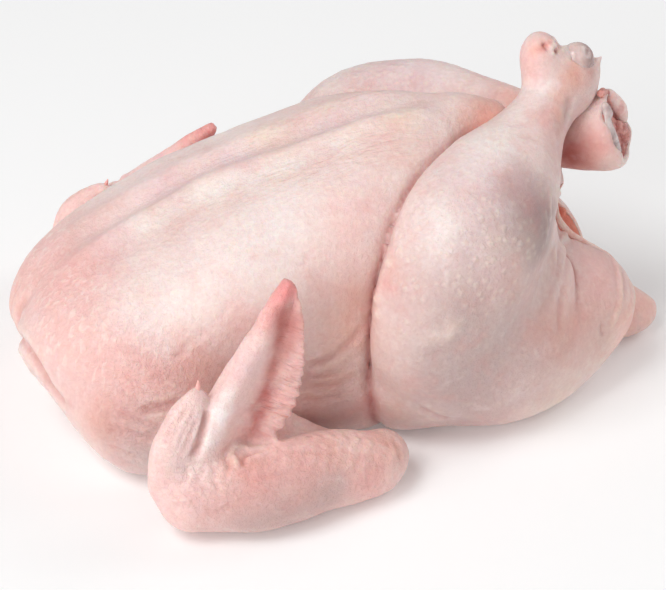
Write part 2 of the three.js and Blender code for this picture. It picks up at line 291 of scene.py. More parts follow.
mid_trunk = np.array([[0, 0, 55]], np.float32)
print("the middle of the trunk lies", -trunk(mid_trunk).round(), "mm under its skin")


# %% [markdown]
# ## The legs
#
# Thigh, knee and hip make a round mass at each side. The drumstick rises from the knee to the bare hock, and
# the right one crosses over the left. Behind it, a loose web of skin runs down from the hock to the thigh. A
# field of its own for each leg lets later cells measure where leg and trunk meet.

# %% Legs
def haunch(points):
    """Thigh, knee and hip of the right leg, blended."""
    d = soft_min(
        ellipsoid(points, (38, -49, 34), (39, 26, 31), roll=-14),
        ellipsoid(points, (21, -55, 46), (22.5, 21, 31), yaw=8), 10)
    d = soft_min(d, ellipsoid(points, (12.5, -46.3, 17.5), (21, 16, 17.6)), 10)
    return soft_min(d, ellipsoid(points, (57, -39, 17), (33, 25.8, 20.6), yaw=14), 12)


def rump(points):
    """The round cheek beside the vent, an ellipsoid."""
    return ellipsoid(points, (75, -26, 31), (36.5, 27, 29.5), pitch=9)


def hock(points):
    """Lobe, knob and heel of the bare joint. A plane opens the knob's top, where the cartilage comes out, and
    a thin spur of skin stands behind it."""
    knob = ellipsoid(points, (90.6, -4, 120.6), (7.8, 7.5, 9.2))
    opening = (points - np.array([91.2, -5.5, 126.8], np.float32)) @ np.array([0.42, -0.4, 0.815], np.float32)
    d = soft_min(
        ellipsoid(points, (76.5, -5, 125.7), (7.9, 8.5, 11.6), pitch=-12),
        soft_max(knob, opening, 2), 7)
    d = soft_min(d, ellipsoid(points, (91, -4, 111.5), (8, 7.6, 9.5)), 5)
    d = soft_min(d, limb(points, [(88.5, -5, 112.5, 7.4), (82, -8.5, 105, 7.4), (76.3, -12, 98.6, 7)]), 6)
    spur = [(97.4, -4, 112, 2.6), (98.4, -4, 117.5, 2.5), (98.9, -4, 120.8, 1.9), (101, -4, 123.8, 0.3)]
    return soft_min(d, limb(points, spur), 2.5)


def right_leg(points):
    """Haunch, drumstick with the web of skin behind it, and the hock."""
    drumstick = [(21, -54, 50, 20), (31.5, -47, 71.5, 30), (46, -36, 84.5, 26), (62.5, -23, 97, 16.5),
                 (74, -13, 108, 10.5), (81, -6, 116, 10)]
    web = [(61.5, -24, 87, 7), (64.3, -33, 72, 8.5), (67, -42, 55, 12)]
    d = soft_min(limb(points, drumstick, 8), limb(points, web), 10)
    return soft_min(soft_min(haunch(points), d, 12), hock(points), 6)


mid_knee = np.array([[30, -49, 68]], np.float32)
print("the middle of the knee lies", -right_leg(mid_knee).round(), "mm under its skin")


# %% [markdown]
# ## The cut shank
#
# The left foot was cut off at the joint, so the shank ends in an open mouth of skin. A Boolean modifier could
# cut it and Solidify could give it a wall. In a field each is one line: the larger of shank and plane cuts
# it, and taking out a smaller copy of the shank leaves a wall of even thickness with a soft rim.

# %% Left leg with its open end
FACE = np.array([108, -8, 96.5])  # middle of the cut face, and its unit vectors outwards, to the right and up
FACE_OUT = np.array([0.801, -0.471, 0.37])
FACE_RIGHT = np.array([0.562, 0.362, -0.744])
FACE_UP = np.cross(FACE_OUT, FACE_RIGHT)
SHANK_END = [(88, 4, 88, 12.2), (101.5, -5, 92.8, 15.2), (104.6, -7, 94.6, 15.2)]  # the limb's last stops


def on_face(points):
    """Right, up and out of a point from the middle of the cut face."""
    local = points - FACE.astype(np.float32)
    return local @ FACE_RIGHT, local @ FACE_UP, local @ FACE_OUT


def cut_end(points, shank):
    """The shank less all that lies beyond the face, whose rim waves up and down, and less a pocket that
    leaves a skin of 2.4 mm round it and is 3 mm deep."""
    right, up, out = on_face(points)
    angle = np.arctan2(up, right)
    rim = out - 0.7 * np.sin(3 * angle + 1) - 0.5 * np.sin(7 * angle)
    solid = soft_max(shank, rim, 1.8)
    pocket = soft_max(shank + 2.4, -out - 3.2, 1.2)
    return soft_max(solid, -pocket, 0.9)


def left_leg(points):
    """Haunch and a lower drumstick that swells towards its cut end. Its web of skin closes the hollow between
    the drumstick and the belly."""
    drumstick = [(8, 56, 54, 22), (24, 56, 70, 27.5), (47, 45, 83, 21), (72, 22, 90, 12.5), *SHANK_END]
    web = [(38, 36, 74, 12), (47, 32, 77, 11.5), (57, 27, 76, 10.5), (66, 22.5, 72, 9), (72, 20, 66, 9)]
    d = soft_min(cut_end(points, limb(points, drumstick, 8)), limb(points, web), 8)
    return soft_min(haunch(mirrored(points)), d, 12)


print("the cut face looks along", FACE_OUT, "and its upward side is", FACE_UP.round(2))


# %% [markdown]
# ## One skin
#
# Skin spans from muscle to muscle, so all muscles are blended before anything is meshed. Objects that only
# touch would show a hard line where they meet. The two bare joints need a finer mesh than the rest, so they
# are cut off at the ankles, with an overlap inside a sleeve of skin.

# %% Whole skin, and the two shank ends
def past_right_ankle(points):
    """How far a point is beyond the plane across the right ankle."""
    return (points - np.array([76, -11.5, 110], np.float32)) @ np.array([0.587, 0.54, 0.603], np.float32)


def past_left_ankle(points):
    """How far a point is beyond the plane across the left shank, just before it swells."""
    return (points - np.array([86, 6, 88.5], np.float32)) @ np.array([0.8, -0.6, 0.05], np.float32)


OVERLAP = 6  # mm by which the skins of two pieces overlap


def up_to(field, past):
    """The field on this side of a plane. Beyond it the skin dips 0.5 mm under that of the next piece, and
    ends one overlap further on, so the two pieces join without a visible line."""
    def shortened(points):
        """The field less what is beyond the plane."""
        beyond = past(points)
        return soft_max(field(points) + 0.5 * ramp(beyond, 0, 2.5), beyond - OVERLAP, 1)

    return shortened


def fold_fades(points):
    """1 low down behind the thigh, where the fold between leg and trunk has faded out, and 0 elsewhere."""
    return ramp(points[:, 0], 48, 64) * (1 - ramp(points[:, 2], 34, 56))


def closed_body(points, right=right_leg, left=left_leg):
    """Trunk, rumps and legs. The fold between a leg and the trunk is sharp in front of the knee and over the
    rump, and fades out low down behind, so its fillet grows there. Where it is sharp, a bell curve of the
    difference between the two distances cuts it deeper, less so beside the tip of the keel."""
    left_rump = rump(mirrored(points) + np.array([3.5, 0, 2], np.float32))
    d = soft_min(trunk(points), np.minimum(rump(points), left_rump), 12)
    smooth = fold_fades(points)
    beside_keel = ramp(points[:, 0], 40, 58)
    for leg in (right(points), left(points)):
        slot = (2.3 - 1.6 * beside_keel) * (1 - smooth) * hump(d - leg, 0.5, 2)
        d = soft_min(d, leg, 2.2 + 4 * beside_keel + 8 * smooth) + slot
    return d


def carcass(points, right=right_leg, left=left_leg):
    """The closed body less the vent, with the tail, cut flat at the table."""
    d = soft_max(closed_body(points, right, left), -vent(points), 3.5)
    return soft_max(soft_min(d, tail(points), 4), -points[:, 2], 0.6)


print("with the vent taken out it lies", -carcass(mid_trunk).round(), "mm under the skin")


# %% [markdown]
# ## The wings
#
# A folded wing is a Z: the upper arm runs back from the shoulder, the forearm forward again on the table, and
# the hand rises from the wrist. The hand is a blade: a bone down its front side, a hollow beside it, and a
# thin web of skin with a ruffled edge. It is drawn by stations from wrist to tip, like the hull of a boat.

# %% Hand of the wing
HAND_LENGTH = 71.6  # mm, for which the stations are given
RIGHT_WING = {
    "wrist": (-74, -89, 22), "tip": (-40, -78, 84), "thumb": (-84, -89, 21, -74.5, -86.5, 54.5),
    "lift": 0, "edge": 1.0}
LEFT_WING = {
    "wrist": (-84, -88, 24.8), "tip": (-35, -79, 67.2), "thumb": (-91, -86, 24, -78.5, -84, 44.8),
    "lift": 6, "edge": 0.9}
# distance from the wrist; front edge, bone, hollow and rear edge, across from the line wrist to tip
STATIONS = np.array([
    (-6, -12, -5.0, 10, 12), (7, -11.5, -5.0, 11, 14), (16, -11, -5.6, 11.4, 18),
    (25, -10.3, -5.7, 11.2, 21.3), (33, -9.2, -5.2, 10.8, 22.3), (40, -8.8, -4.6, 10, 21),
    (48, -7.6, -3.6, 8.6, 18.7), (56, -6.7, -2.8, 6.6, 15.2), (64, -6.1, -2.6, 4.6, 10.8),
    (70, -4.9, -2.0, 3.0, 6.6), (74.5, -3.6, -1.6, 1.4, 2.6), (78, -2.4, -1.4, -0.6, -0.6)])


def hand_frame(wing_shape):
    """Unit vectors of the hand: along it, across it towards the web, and outwards from the bird."""
    along = np.array(wing_shape["tip"]) - np.array(wing_shape["wrist"], float)
    length = np.linalg.norm(along)
    along = along / length
    out = np.array([0.25, -1, 0.2])
    out -= (out @ along) * along
    out /= np.linalg.norm(out)
    return along, np.cross(along, out), out, length


def hand_place(points, wing_shape):
    """Where a point is on the hand: along, across and above its blade, in mm, as if the hand had the length
    that the stations are given for."""
    along, across, out, length = hand_frame(wing_shape)
    local = points - np.array(wing_shape["wrist"], np.float32)
    stretch = HAND_LENGTH / length
    return (local @ along) * stretch, (local @ across) * stretch, (local @ out) * stretch


def hand(points, wing_shape):
    """The height over the blade less the height of the skin there, which is a bell curve over the bone, less
    a bell curve in the hollow, plus a wave that grows towards the ruffled edge. The outline closes it. Both
    rise faster than a distance does, so 0.8 of each is taken."""
    s, u, h = hand_place(points, wing_shape)
    front, bone, hollow, rear = (np.interp(s, STATIONS[:, 0], column) for column in STATIONS[:, 1:].T)
    rear = rear * wing_shape["edge"]
    taper = 1 - 0.62 * ramp(s, 10, 76)
    near_edge = ramp(u, hollow, np.maximum(rear, hollow + 1e-6))
    ruffle = np.sin(2 * np.pi * (s / 4.3 + 0.25 * np.sin(s / 7)) + 0.12 * u)
    low_half = 1 - 0.65 * ramp(s, 34, 62)
    breadth = np.where(u > bone, 8.2, 5.2) * taper + 1
    top = 6.0 * taper * hump(u, bone, breadth) + 0.6 - 1.0 * hump(u, hollow, 3.6) * ramp(s, 8, 20)
    top += near_edge * (1.9 + 0.5 * ruffle * low_half)
    bottom = -1.3 - 5.5 * taper * hump(u, bone, 5.5 * taper + 1) + near_edge * (1.1 + 0.5 * ruffle * low_half)
    scallop = 0.3 * near_edge * ruffle * low_half
    outline = np.maximum(np.maximum(u - rear - scallop, front - u), np.maximum(s - 77, -4 - s))
    return soft_max(np.maximum(h - top, bottom - h) * 0.8, outline * 0.8, 1.6)


print("hands", [round(hand_frame(wing_shape)[3], 1) for wing_shape in (RIGHT_WING, LEFT_WING)], "mm long")


# %% Whole wing
def wing(points, wing_shape):
    """The soft minimum of a right wing's upper arm, forearm with its blunt elbow, hand and thumb, cut flat at
    the table."""
    forearm = np.array([
        (-3, -76.3, 10.2, 6.8), (-4.8, -79.6, 10.6, 9.2), (-10, -83.6, 10.8, 11.6),
        (-18.3, -85.8, 12.7, 13.2), (-29.5, -87.8, 14.4, 14.3), (-43.5, -92, 15.2, 15),
        (-56, -93.8, 15.2, 14.8), (-68, -91.4, 15, 14.3), (-78, -91, 15, 13.1)])
    forearm[:, :3] += wing_shape["lift"] * np.outer(ramp(forearm[:, 0], -36, -78), (-0.8, 0.1, 1))
    d = soft_min(
        limb(points, [(-76, -48, 24, 15), (-50, -60, 16, 13), (-26, -71, 10, 9), (-6, -77, 9, 7.5)]),
        limb(points, forearm, 3), 6)
    blade = near_box(points, np.array([-106, -104, 16], np.float32), np.array([-20, -66, 98], np.float32),
                     lambda close: hand(close, wing_shape), margin=14)
    d = soft_min(d, blade, 4)
    root, tip = np.array(wing_shape["thumb"], float).reshape(2, 3)
    share, bulge, radius = np.array([
        (0, 0, 10), (0.36, 2.6, 9.4), (0.66, 1.6, 8.2), (0.87, -0.3, 5.6), (1, 0, 2.6)]).T
    thumb = np.column_stack([root + np.outer(share, tip - root) - np.outer(bulge, (1, 0.3, 0)), radius])
    d = soft_min(d, limb(points, thumb, 8, flat_along=(0.18, -1, 0.08), flatness=1.5), 2.2)
    return soft_max(d, -points[:, 2], 0.6)


mid_forearm = np.array([[-44, -92, 15]], np.float32)
print("the middle of the forearm lies", -wing(mid_forearm, RIGHT_WING).round(), "mm under its skin")


# %% [markdown]
# ## From field to mesh
#
# A surface net walks a cubic grid: every cell that the surface passes through gets one vertex, at the mean of
# the points where the surface crosses the cell's edges, and every grid edge that is crossed gets one face.
# Then each vertex slides down the field's slope until it lies on the surface. Only the cells near the surface
# are worked out finely, because the rest of the grid is empty or full.

# %% Sampled grid
def sample(field, low, high, cell, coarse=4):
    """Field values on a grid. A grid that is `coarse` times wider finds the blocks near the surface, and only
    the points in those blocks are worked out finely. The others take the value of the nearest wide point. A
    block that the surface passes has a corner within 0.87 of its width, and 1.45 leaves room for fields that
    overstate the distance."""
    low = np.array(low, float)
    blocks = np.ceil((np.array(high) - low) / (cell * coarse)).astype(int)
    axes = [low[i] + np.arange(blocks[i] + 1) * cell * coarse for i in range(3)]
    wide_points = np.stack(np.meshgrid(*axes, indexing="ij"), -1).reshape(-1, 3).astype(np.float32)
    wide = field(wide_points).reshape(blocks + 1)
    near = np.abs(wide) < 1.45 * cell * coarse
    for axis in range(3):
        near = np.take(near, range(blocks[axis]), axis) | np.take(near, range(1, blocks[axis] + 1), axis)
    for axis in range(3):
        near = np.repeat(near, coarse, axis)
    near = np.pad(near, ((0, 1),) * 3, mode="edge")
    for axis in range(3):
        near |= np.roll(near, 1, axis)
    nearest = [np.minimum((np.arange(n * coarse + 1) + coarse // 2) // coarse, n) for n in blocks]
    values = wide[np.ix_(*nearest)].astype(np.float32)
    values[near] = field((low + np.argwhere(near) * cell).astype(np.float32))
    return values, low


def close_pinches(values, cell):
    """Where four grid points round a square are full and empty in turn, the empty ones are filled, by a
    twentieth of a cell, until no such square is left. Two sheets of the surface then never share an edge."""
    while True:
        pinched = np.zeros(values.shape, bool)
        for a, b in ((0, 1), (1, 2), (0, 2)):
            full = np.moveaxis(values < 0, (a, b), (0, 1))
            corner, right, over, up = full[:-1, :-1], full[1:, :-1], full[1:, 1:], full[:-1, 1:]
            bad = (corner == over) & (right == up) & (corner != right)
            mark = np.moveaxis(pinched, (a, b), (0, 1))
            for side in (mark[:-1, :-1], mark[1:, :-1], mark[1:, 1:], mark[:-1, 1:]):
                side |= bad
        pinched &= values >= 0
        if not pinched.any():
            return values
        values[pinched] = -0.05 * cell


def small_ball(points):
    """A ball of 10 mm radius, to try each step on."""
    return ellipsoid(points, (0, 0, 0), (10, 10, 10))


ball_values, ball_low = sample(small_ball, (-12, -12, -12), (12, 12, 12), 1.0)
print("a ball is full at", (ball_values < 0).sum(), "of", ball_values.size, "grid points")


# %% Surface net
CELL_CORNERS = np.array([(i, j, k) for i in (0, 1) for j in (0, 1) for k in (0, 1)])


def surface_net(values, low, cell):
    """Returns vertices, and faces of four corners that point outwards."""
    full = values < 0
    count = sum(full[tuple(slice(c, n - 1 + c) for c, n in zip(corner, full.shape))].astype(np.int8)
                for corner in CELL_CORNERS)
    crossed = (count > 0) & (count < 8)
    cells = np.argwhere(crossed)
    at_corners = np.stack([values[tuple((cells + corner).T)] for corner in CELL_CORNERS], 1)
    total, crossings = np.zeros(cells.shape), np.zeros(len(cells))
    edges_of_cell = [(a, a | bit) for a in range(8) for bit in (1, 2, 4) if not a & bit]
    for a, b in edges_of_cell:
        cut = (at_corners[:, a] < 0) != (at_corners[:, b] < 0)
        share = np.where(cut, at_corners[:, a] / np.where(cut, at_corners[:, a] - at_corners[:, b], 1), 0)
        total += cut[:, None] * (CELL_CORNERS[a] + share[:, None] * (CELL_CORNERS[b] - CELL_CORNERS[a]))
        crossings += cut
    vertices = (cells + total / crossings[:, None]) * cell + low
    number = np.full(crossed.shape, -1)
    number[crossed] = np.arange(len(cells))
    faces = []
    for axis, u, v in ((0, 1, 2), (1, 2, 0), (2, 0, 1)):
        step, along_u, along_v = np.eye(3, dtype=int)[[axis, u, v]]
        ahead = tuple(slice(s, None) for s in step)
        behind = tuple(slice(None, -1 if s else None) for s in step)
        edges = np.argwhere(full[ahead] != full[behind])
        ring = np.stack([number[tuple((edges - shift).T)]
                         for shift in (along_u + along_v, along_v, 0 * step, along_u)], 1)
        empty = ~full[tuple(edges.T)]
        ring[empty] = ring[empty][:, ::-1]
        faces.append(ring)
    return vertices, np.concatenate(faces)


ball_vertices, ball_faces = surface_net(ball_values, ball_low, 1.0)
print("its net has", len(ball_vertices), "vertices and", len(ball_faces), "faces")


# %% Slide onto the surface
def settle(field, points, passes=2, reach=0.8, probe=0.3):
    """Newton's step: the slope is the field a little way along each axis less the field here, over that
    way. The point moves against it by the field over the slope's squared length, which counts as 0.1 at
    least, and by `reach` mm at most."""
    points = points.astype(np.float32)
    for _ in range(passes):
        here = field(points)
        steps = np.eye(3, dtype=np.float32) * probe
        slope = np.stack([(field(points + step) - here) / probe for step in steps], 1)
        move = np.clip(here / np.maximum((slope**2).sum(1), 0.1), -reach, reach)
        points = points - slope * move[:, None]
    return points


def vertex_normals(vertices, faces):
    """Each face's normal is the cross product of its diagonals. A vertex takes the sum of those around it."""
    corner = vertices[faces]
    normal = np.cross(corner[:, 2] - corner[:, 0], corner[:, 3] - corner[:, 1])
    shares = np.repeat(normal, 4, axis=0)
    total = np.stack([np.bincount(faces.ravel(), shares[:, i], len(vertices)) for i in range(3)], 1)
    return total / np.maximum(np.linalg.norm(total, axis=1, keepdims=True), 1e-9)


def largest_island(vertices, faces):
    """Deep in a fold the field can leave a bubble. Every vertex starts with its own number, and takes the
    smallest number among the corners of its faces, and then the number that this one has, until nothing
    changes. Each island then has one number, and the one with the most vertices is kept."""
    label, before = np.arange(len(vertices)), None
    while before is None or (label != before).any():
        before = label.copy()
        np.minimum.at(label, faces.ravel(), np.repeat(label[faces].min(1), 4))
        label = label[label]
    kept = label == np.bincount(label).argmax()
    return vertices[kept], (np.cumsum(kept) - 1)[faces[kept[faces[:, 0]]]]


def net_of(field, low, high, cell):
    """Mesh of a field: sample it, close its pinches, net it, keep the largest island, settle the vertices."""
    values, low = sample(field, low, high, cell)
    vertices, faces = largest_island(*surface_net(close_pinches(values, cell), low, cell))
    return settle(field, vertices).astype(float), faces


off_before = np.abs(small_ball(ball_vertices)).max()
off_after = np.abs(small_ball(settle(small_ball, ball_vertices))).max()
print("settling brings it from", off_before.round(2), "to", off_after.round(3), "mm off the ball")

# %% [markdown]
# ## The five skins
#
# The carcass, the two bare joints and the two wings are netted one by one. A finer grid costs eight times the
# points for half the cell, so each skin takes the widest cell that still holds its smallest fold. The left
# wing is drawn on the right side as well, and is turned over at the end.

# %% Mesh the five skins
CARCASS_CELL, WING_CELL, SHANK_CELL = 1.32, 0.8, 0.6  # mm


def right_wing(points):
    """The wing field with the right wing's measures."""
    return wing(points, RIGHT_WING)


def left_wing(points):
    """The same with the left wing's, still drawn on the right side."""
    return wing(points, LEFT_WING)


def back_from(past):
    """The same plane, counted from its other side."""
    return lambda points: -past(points)


def body_skin_field(points):
    """The carcass up to both ankles."""
    return carcass(points, up_to(right_leg, past_right_ankle), up_to(left_leg, past_left_ankle))


right_hock = up_to(right_leg, back_from(past_right_ankle))
left_shank = up_to(left_leg, back_from(past_left_ankle))
bare = {
    "carcass": net_of(body_skin_field, (-136, -86, -3), (140, 90, 144), CARCASS_CELL),
    "right_hock": net_of(right_hock, (56, -36, 84), (108, 12, 142), SHANK_CELL),
    "left_shank": net_of(left_shank, (72, -30, 70), (122, 22, 118), SHANK_CELL),
    "right_wing": net_of(right_wing, (-102, -114, -3), (8, -28, 98), WING_CELL),
    "left_wing": net_of(left_wing, (-108, -114, -3), (8, -28, 90), WING_CELL),
}
for name, (vertices, faces) in bare.items():
    print(name, len(vertices), "vertices,", 2 * len(faces), "triangles")

# %% [markdown]
# ## Folds, creases and bumps
#
# The muscles give the form, but skin is what is seen: it folds at the neck, wrinkles under the shoulder and
# gathers in small lumps of fat at the knee. Sculpting would do this by hand. Here each fold is a smooth path
# on the skin, given by the pixels it passes through the camera, and the vertices move in or out along their
# normals by a bell curve of their distance to that path.

# %% Points seen through the camera
def seen_at(pixels, field, from_eye=620.0, steps=110):
    """Points of the skin behind pixels. Each ray starts `from_eye` mm from the eye, before the bird, and
    steps on by 0.7 of the field's value, but by 0.3 mm at least and 400 mm at most, until the value is under
    0.02 mm. A ray that misses keeps its nearest point, and Newton's step brings that to the skin."""
    way = rays_through(pixels)
    way /= np.linalg.norm(way, axis=1, keepdims=True)
    gone = np.full(len(way), from_eye)
    nearest, nearest_gone = np.full(len(way), np.inf), gone.copy()
    for _ in range(steps):
        value = field((EYE + way * gone[:, None]).astype(np.float32))
        closer = value < nearest
        nearest[closer], nearest_gone[closer] = value[closer], gone[closer]
        hit = nearest < 0.02
        gone = np.where(hit, gone, gone + np.clip(0.7 * value, 0.3, 400))
    return settle(field, EYE + way * nearest_gone[:, None], passes=4, reach=3)


def path_reach(points, path):
    """Distance to the nearest point of a path, and the share of the path's length at which that point is."""
    nearest, share = np.full(len(points), np.inf), np.zeros(len(points))
    lengths = np.linalg.norm(np.diff(path, axis=0), axis=1)
    starts = np.concatenate([[0], np.cumsum(lengths)])
    for i, (start, end) in enumerate(zip(path[:-1], path[1:])):
        bone = end - start
        t = np.clip((points - start) @ bone / (bone @ bone), 0, 1)
        distance = np.linalg.norm(points - start - t[:, None] * bone, axis=1)
        closer = distance < nearest
        nearest[closer] = distance[closer]
        share[closer] = (starts[i] + t[closer] * lengths[i]) / starts[-1]
    return nearest, share


print("the target's pixel shows the skin at", seen_at(TARGET_AT, carcass).round(1), "mm")


# %% Profiles of folds and bumps
def fold(points, path, width, depth):
    """Minus the depth times a bell curve of the distance over the width, with a lip of a third of the depth
    at twice the width. Both fade out over the first and last sixth of the path."""
    moved = np.zeros(len(points))
    path = smooth_path(path, 4)
    close = ((points > path.min(0) - 4 * width) & (points < path.max(0) + 4 * width)).all(1)
    if close.any():
        distance, share = path_reach(points[close], path)
        fade = ramp(share, 0, 0.17) * (1 - ramp(share, 0.83, 1))
        across = distance / width
        moved[close] = depth * fade * (hump(across, 2.1, 0.9) / 3 - hump(across, 0, 1))
    return moved


def lump(points, place, width, height):
    """The height times a bell curve of the distance over the width."""
    return height * hump(np.linalg.norm(points - place, axis=1), 0, width)


def straight_fold(offsets):
    """A fold 1 mm wide and deep along the x axis, measured at offsets from its middle."""
    points = np.column_stack([np.zeros(len(offsets)), offsets, np.zeros(len(offsets))])
    return fold(points, [(-20, 0, 0), (0, 0, 0), (20, 0, 0)], 1.0, 1.0)


print("0, 1, 2 and 3 mm beside a fold the skin moves", straight_fold(np.arange(4.0)).round(2), "mm")


# %% Smooth noise
def noise(points, size, seed):
    """A random number from -1 to 1 at each corner of a lattice with cells of `size` mm, and between the
    corners a mix of the eight around, with weights from the same cubic as in ramp. Each corner picks its
    number from a table of 4096, by its three counts times three large primes."""
    numbers = np.random.default_rng(seed).uniform(-1, 1, 4096)
    scaled = points / size + 1000
    corner = np.floor(scaled).astype(np.int64)
    t = scaled - corner
    t = t * t * (3 - 2 * t)
    total = np.zeros(len(points))
    for i, j, k in CELL_CORNERS:
        x, y, z = (corner + (i, j, k)).T
        weight = np.prod(np.where((i, j, k), t, 1 - t), axis=1)
        total += weight * numbers[(x * 7919 ^ y * 104729 ^ z * 1299709) & 4095]
    return total


def layered_noise(points, layers):
    """The sum of several noises, each given by its height in mm, its size in mm and its seed."""
    return sum(height * noise(points, size, seed) for height, size, seed in layers)


along_x = np.column_stack([np.arange(5) * 4.0, np.zeros(5), np.zeros(5)])
print("noise at five points 4 mm apart:", noise(along_x, 17, 1).round(2))


# %% Where the folds of both sides are
# Width and depth in mm, then the pixels that the fold passes. A negative depth raises a ridge.
PAIRED_FOLDS = [
    (1.2, 1.0, [(113, 412), (122, 417), (134, 420), (150, 424), (166, 429)]),  # shoulder
    (0.9, 0.5, [(118, 409), (130, 413), (143, 415), (158, 419)]),
    (0.9, 0.5, [(108, 421), (120, 425), (133, 427), (149, 430)]),
    (0.9, 0.45, [(112, 437), (127, 439), (141, 441), (156, 441)]),
    (0.9, 0.4, [(128, 452), (140, 453), (152, 451)]),
    (1.2, 0.8, [(104, 430), (115, 430), (130, 433), (144, 436), (162, 438)]),
    (1.4, 1.4, [(138, 412), (148, 410), (159, 408), (171, 405), (184, 400)]),
    (1.1, 0.6, [(122, 446), (138, 446), (152, 443)]),
    (1.1, 0.6, [(106, 444), (116, 450), (129, 455), (140, 457)]),
    (1.1, 0.5, [(150, 431), (158, 432), (168, 434)]),
    (1.0, 0.45, [(191, 338), (186, 347), (180, 355), (171, 362)]),  # low on the breast
    (1.0, 0.35, [(156, 336), (151, 343)]),
    (1.0, 0.4, [(230, 303), (225, 310), (219, 321)]),
    (1.0, 0.4, [(311, 250), (306, 260), (297, 271)]),
    (1.0, 0.35, [(205, 330), (200, 338), (196, 343)]),
    (1.0, 0.3, [(215, 338), (207, 347), (199, 352)]),
    (1.6, 0.8, [(305, 368), (317, 364), (330, 359), (339, 351), (350, 342), (358, 331), (363, 322)]),  # flank
    (1.2, 0.35, [(306, 388), (326, 388), (348, 381), (359, 370)]),
    (1.1, 0.35, [(291, 399), (315, 400), (334, 397), (350, 390)]),
    (1.0, 0.3, [(305, 377), (325, 376), (345, 368), (357, 358)]),
    (2.6, -0.6, [(418, 343), (432, 340), (446, 336), (453, 326), (457, 316)]),  # over the thigh
    (1.4, 0.8, [(416, 405), (436, 415), (452, 419)]),
    (1.8, 0.7, [(561, 282), (560, 300), (559, 322), (557, 334)]),  # thigh to rump
    (1.5, 0.3, [(554, 284), (547, 298), (539, 314)]),
    (1.2, -1.0, [(612, 254), (618, 267), (620.5, 285), (620.5, 301), (616, 315), (609, 331)]),  # rump
    (1.3, -0.9, [(627, 276), (632, 288), (633, 300), (629, 312), (622, 323)]),
    (1.2, 0.7, [(603, 321), (601, 328), (603, 335)]),
]
PAIRED_LUMPS = [  # width and height in mm, then the pixel: lumps of fat beside the knee
    (2.0, 1.3, (389, 262)), (1.6, 0.8, (399.5, 251.5)), (2.3, 1.8, (375, 291)), (1.8, 1.3, (378, 298.5)),
    (2.4, 1.7, (373, 306)), (2.0, 1.2, (378, 315)), (2.2, 1.0, (371, 330)), (7.0, 1.0, (395, 408)),
]
print(len(PAIRED_FOLDS), "folds and", len(PAIRED_LUMPS), "lumps on each side")

# %% Where the folds of one side are
RIGHT_FOLDS = [  # the first is the long fold where the neck was
    (1.9, 1.8, [(15, 333), (20, 341), (27, 349), (36, 363), (43, 376), (50, 388), (58, 398), (70, 413)]),
    (1.3, -1.3, [(553, 176), (558, 192), (562, 210), (564, 235), (563, 260), (561, 282)]),  # web of skin
    (1.0, -0.6, [(551, 186), (549, 200), (550, 222)]),
    (1.0, 0.6, [(555, 190), (555, 208), (557, 226)]),
    (1.0, -0.5, [(554, 240), (553, 264)]),
    (1.0, 0.5, [(558, 238), (558, 262), (556, 280)]),
    (1.0, -0.4, [(546, 215), (545, 240)]),
    (1.4, 0.5, [(566, 246), (566, 262), (565, 282), (563, 300)]),
    (1.0, 0.35, [(506, 127), (520, 124), (534, 127)]),  # ankle
    (1.0, 0.35, [(513, 136), (525, 136), (539, 142)]),
    (1.6, 0.7, [(569, 96), (567, 109), (564, 120)]),
    (0.9, 0.5, [(568, 54), (572, 59), (578, 62), (585, 63), (591, 60)]),  # under the cartilage
    (1.2, 1.2, [(549, 36), (556, 44), (563, 48)]),
]
FRONT_FOLDS = [  # in mm, because the camera doesn't see the front of the neck
    (2.0, 0.8, [(-127, -3, 56), (-127, 2, 45), (-126, 0, 34), (-124, 3, 22), (-118, 1, 9)]),
    (1.6, 0.5, [(-126, -15, 48), (-126, -11, 37), (-125, -10, 26), (-121, -7, 14)]),
    (1.6, 0.5, [(-126, 11, 58), (-126, 13, 46), (-126, 10, 33), (-122, 11, 20)]),
    (1.5, 0.4, [(-124, 26, 44), (-125, 22, 33), (-123, 21, 22), (-118, 18, 11)]),
    (1.5, 0.4, [(-124, -25, 33), (-123, -21, 24), (-119, -19, 14)]),
    (1.7, 0.9, [(-117, 34, 56), (-119, 38, 47), (-117, 43, 38), (-112, 48, 30)]),
    (1.4, 0.5, [(-113, 47, 49), (-111, 50, 41), (-107, 53, 33)]),
]
RIGHT_LUMPS = [  # the two holes in the bare hock, and the knobs round them
    (1.0, -2.2, (543.6, 45)), (0.9, -1.2, (546, 49)), (1.0, -2.4, (555.9, 51)), (1.0, 0.9, (550, 47)),
    (0.9, 0.8, (561, 50.5)), (0.8, 0.7, (553, 46.5)), (0.8, 0.6, (558.5, 47)), (0.9, 0.5, (552, 54)),
]
print(len(RIGHT_FOLDS) + len(FRONT_FOLDS), "folds and", len(RIGHT_LUMPS), "lumps on one side only")

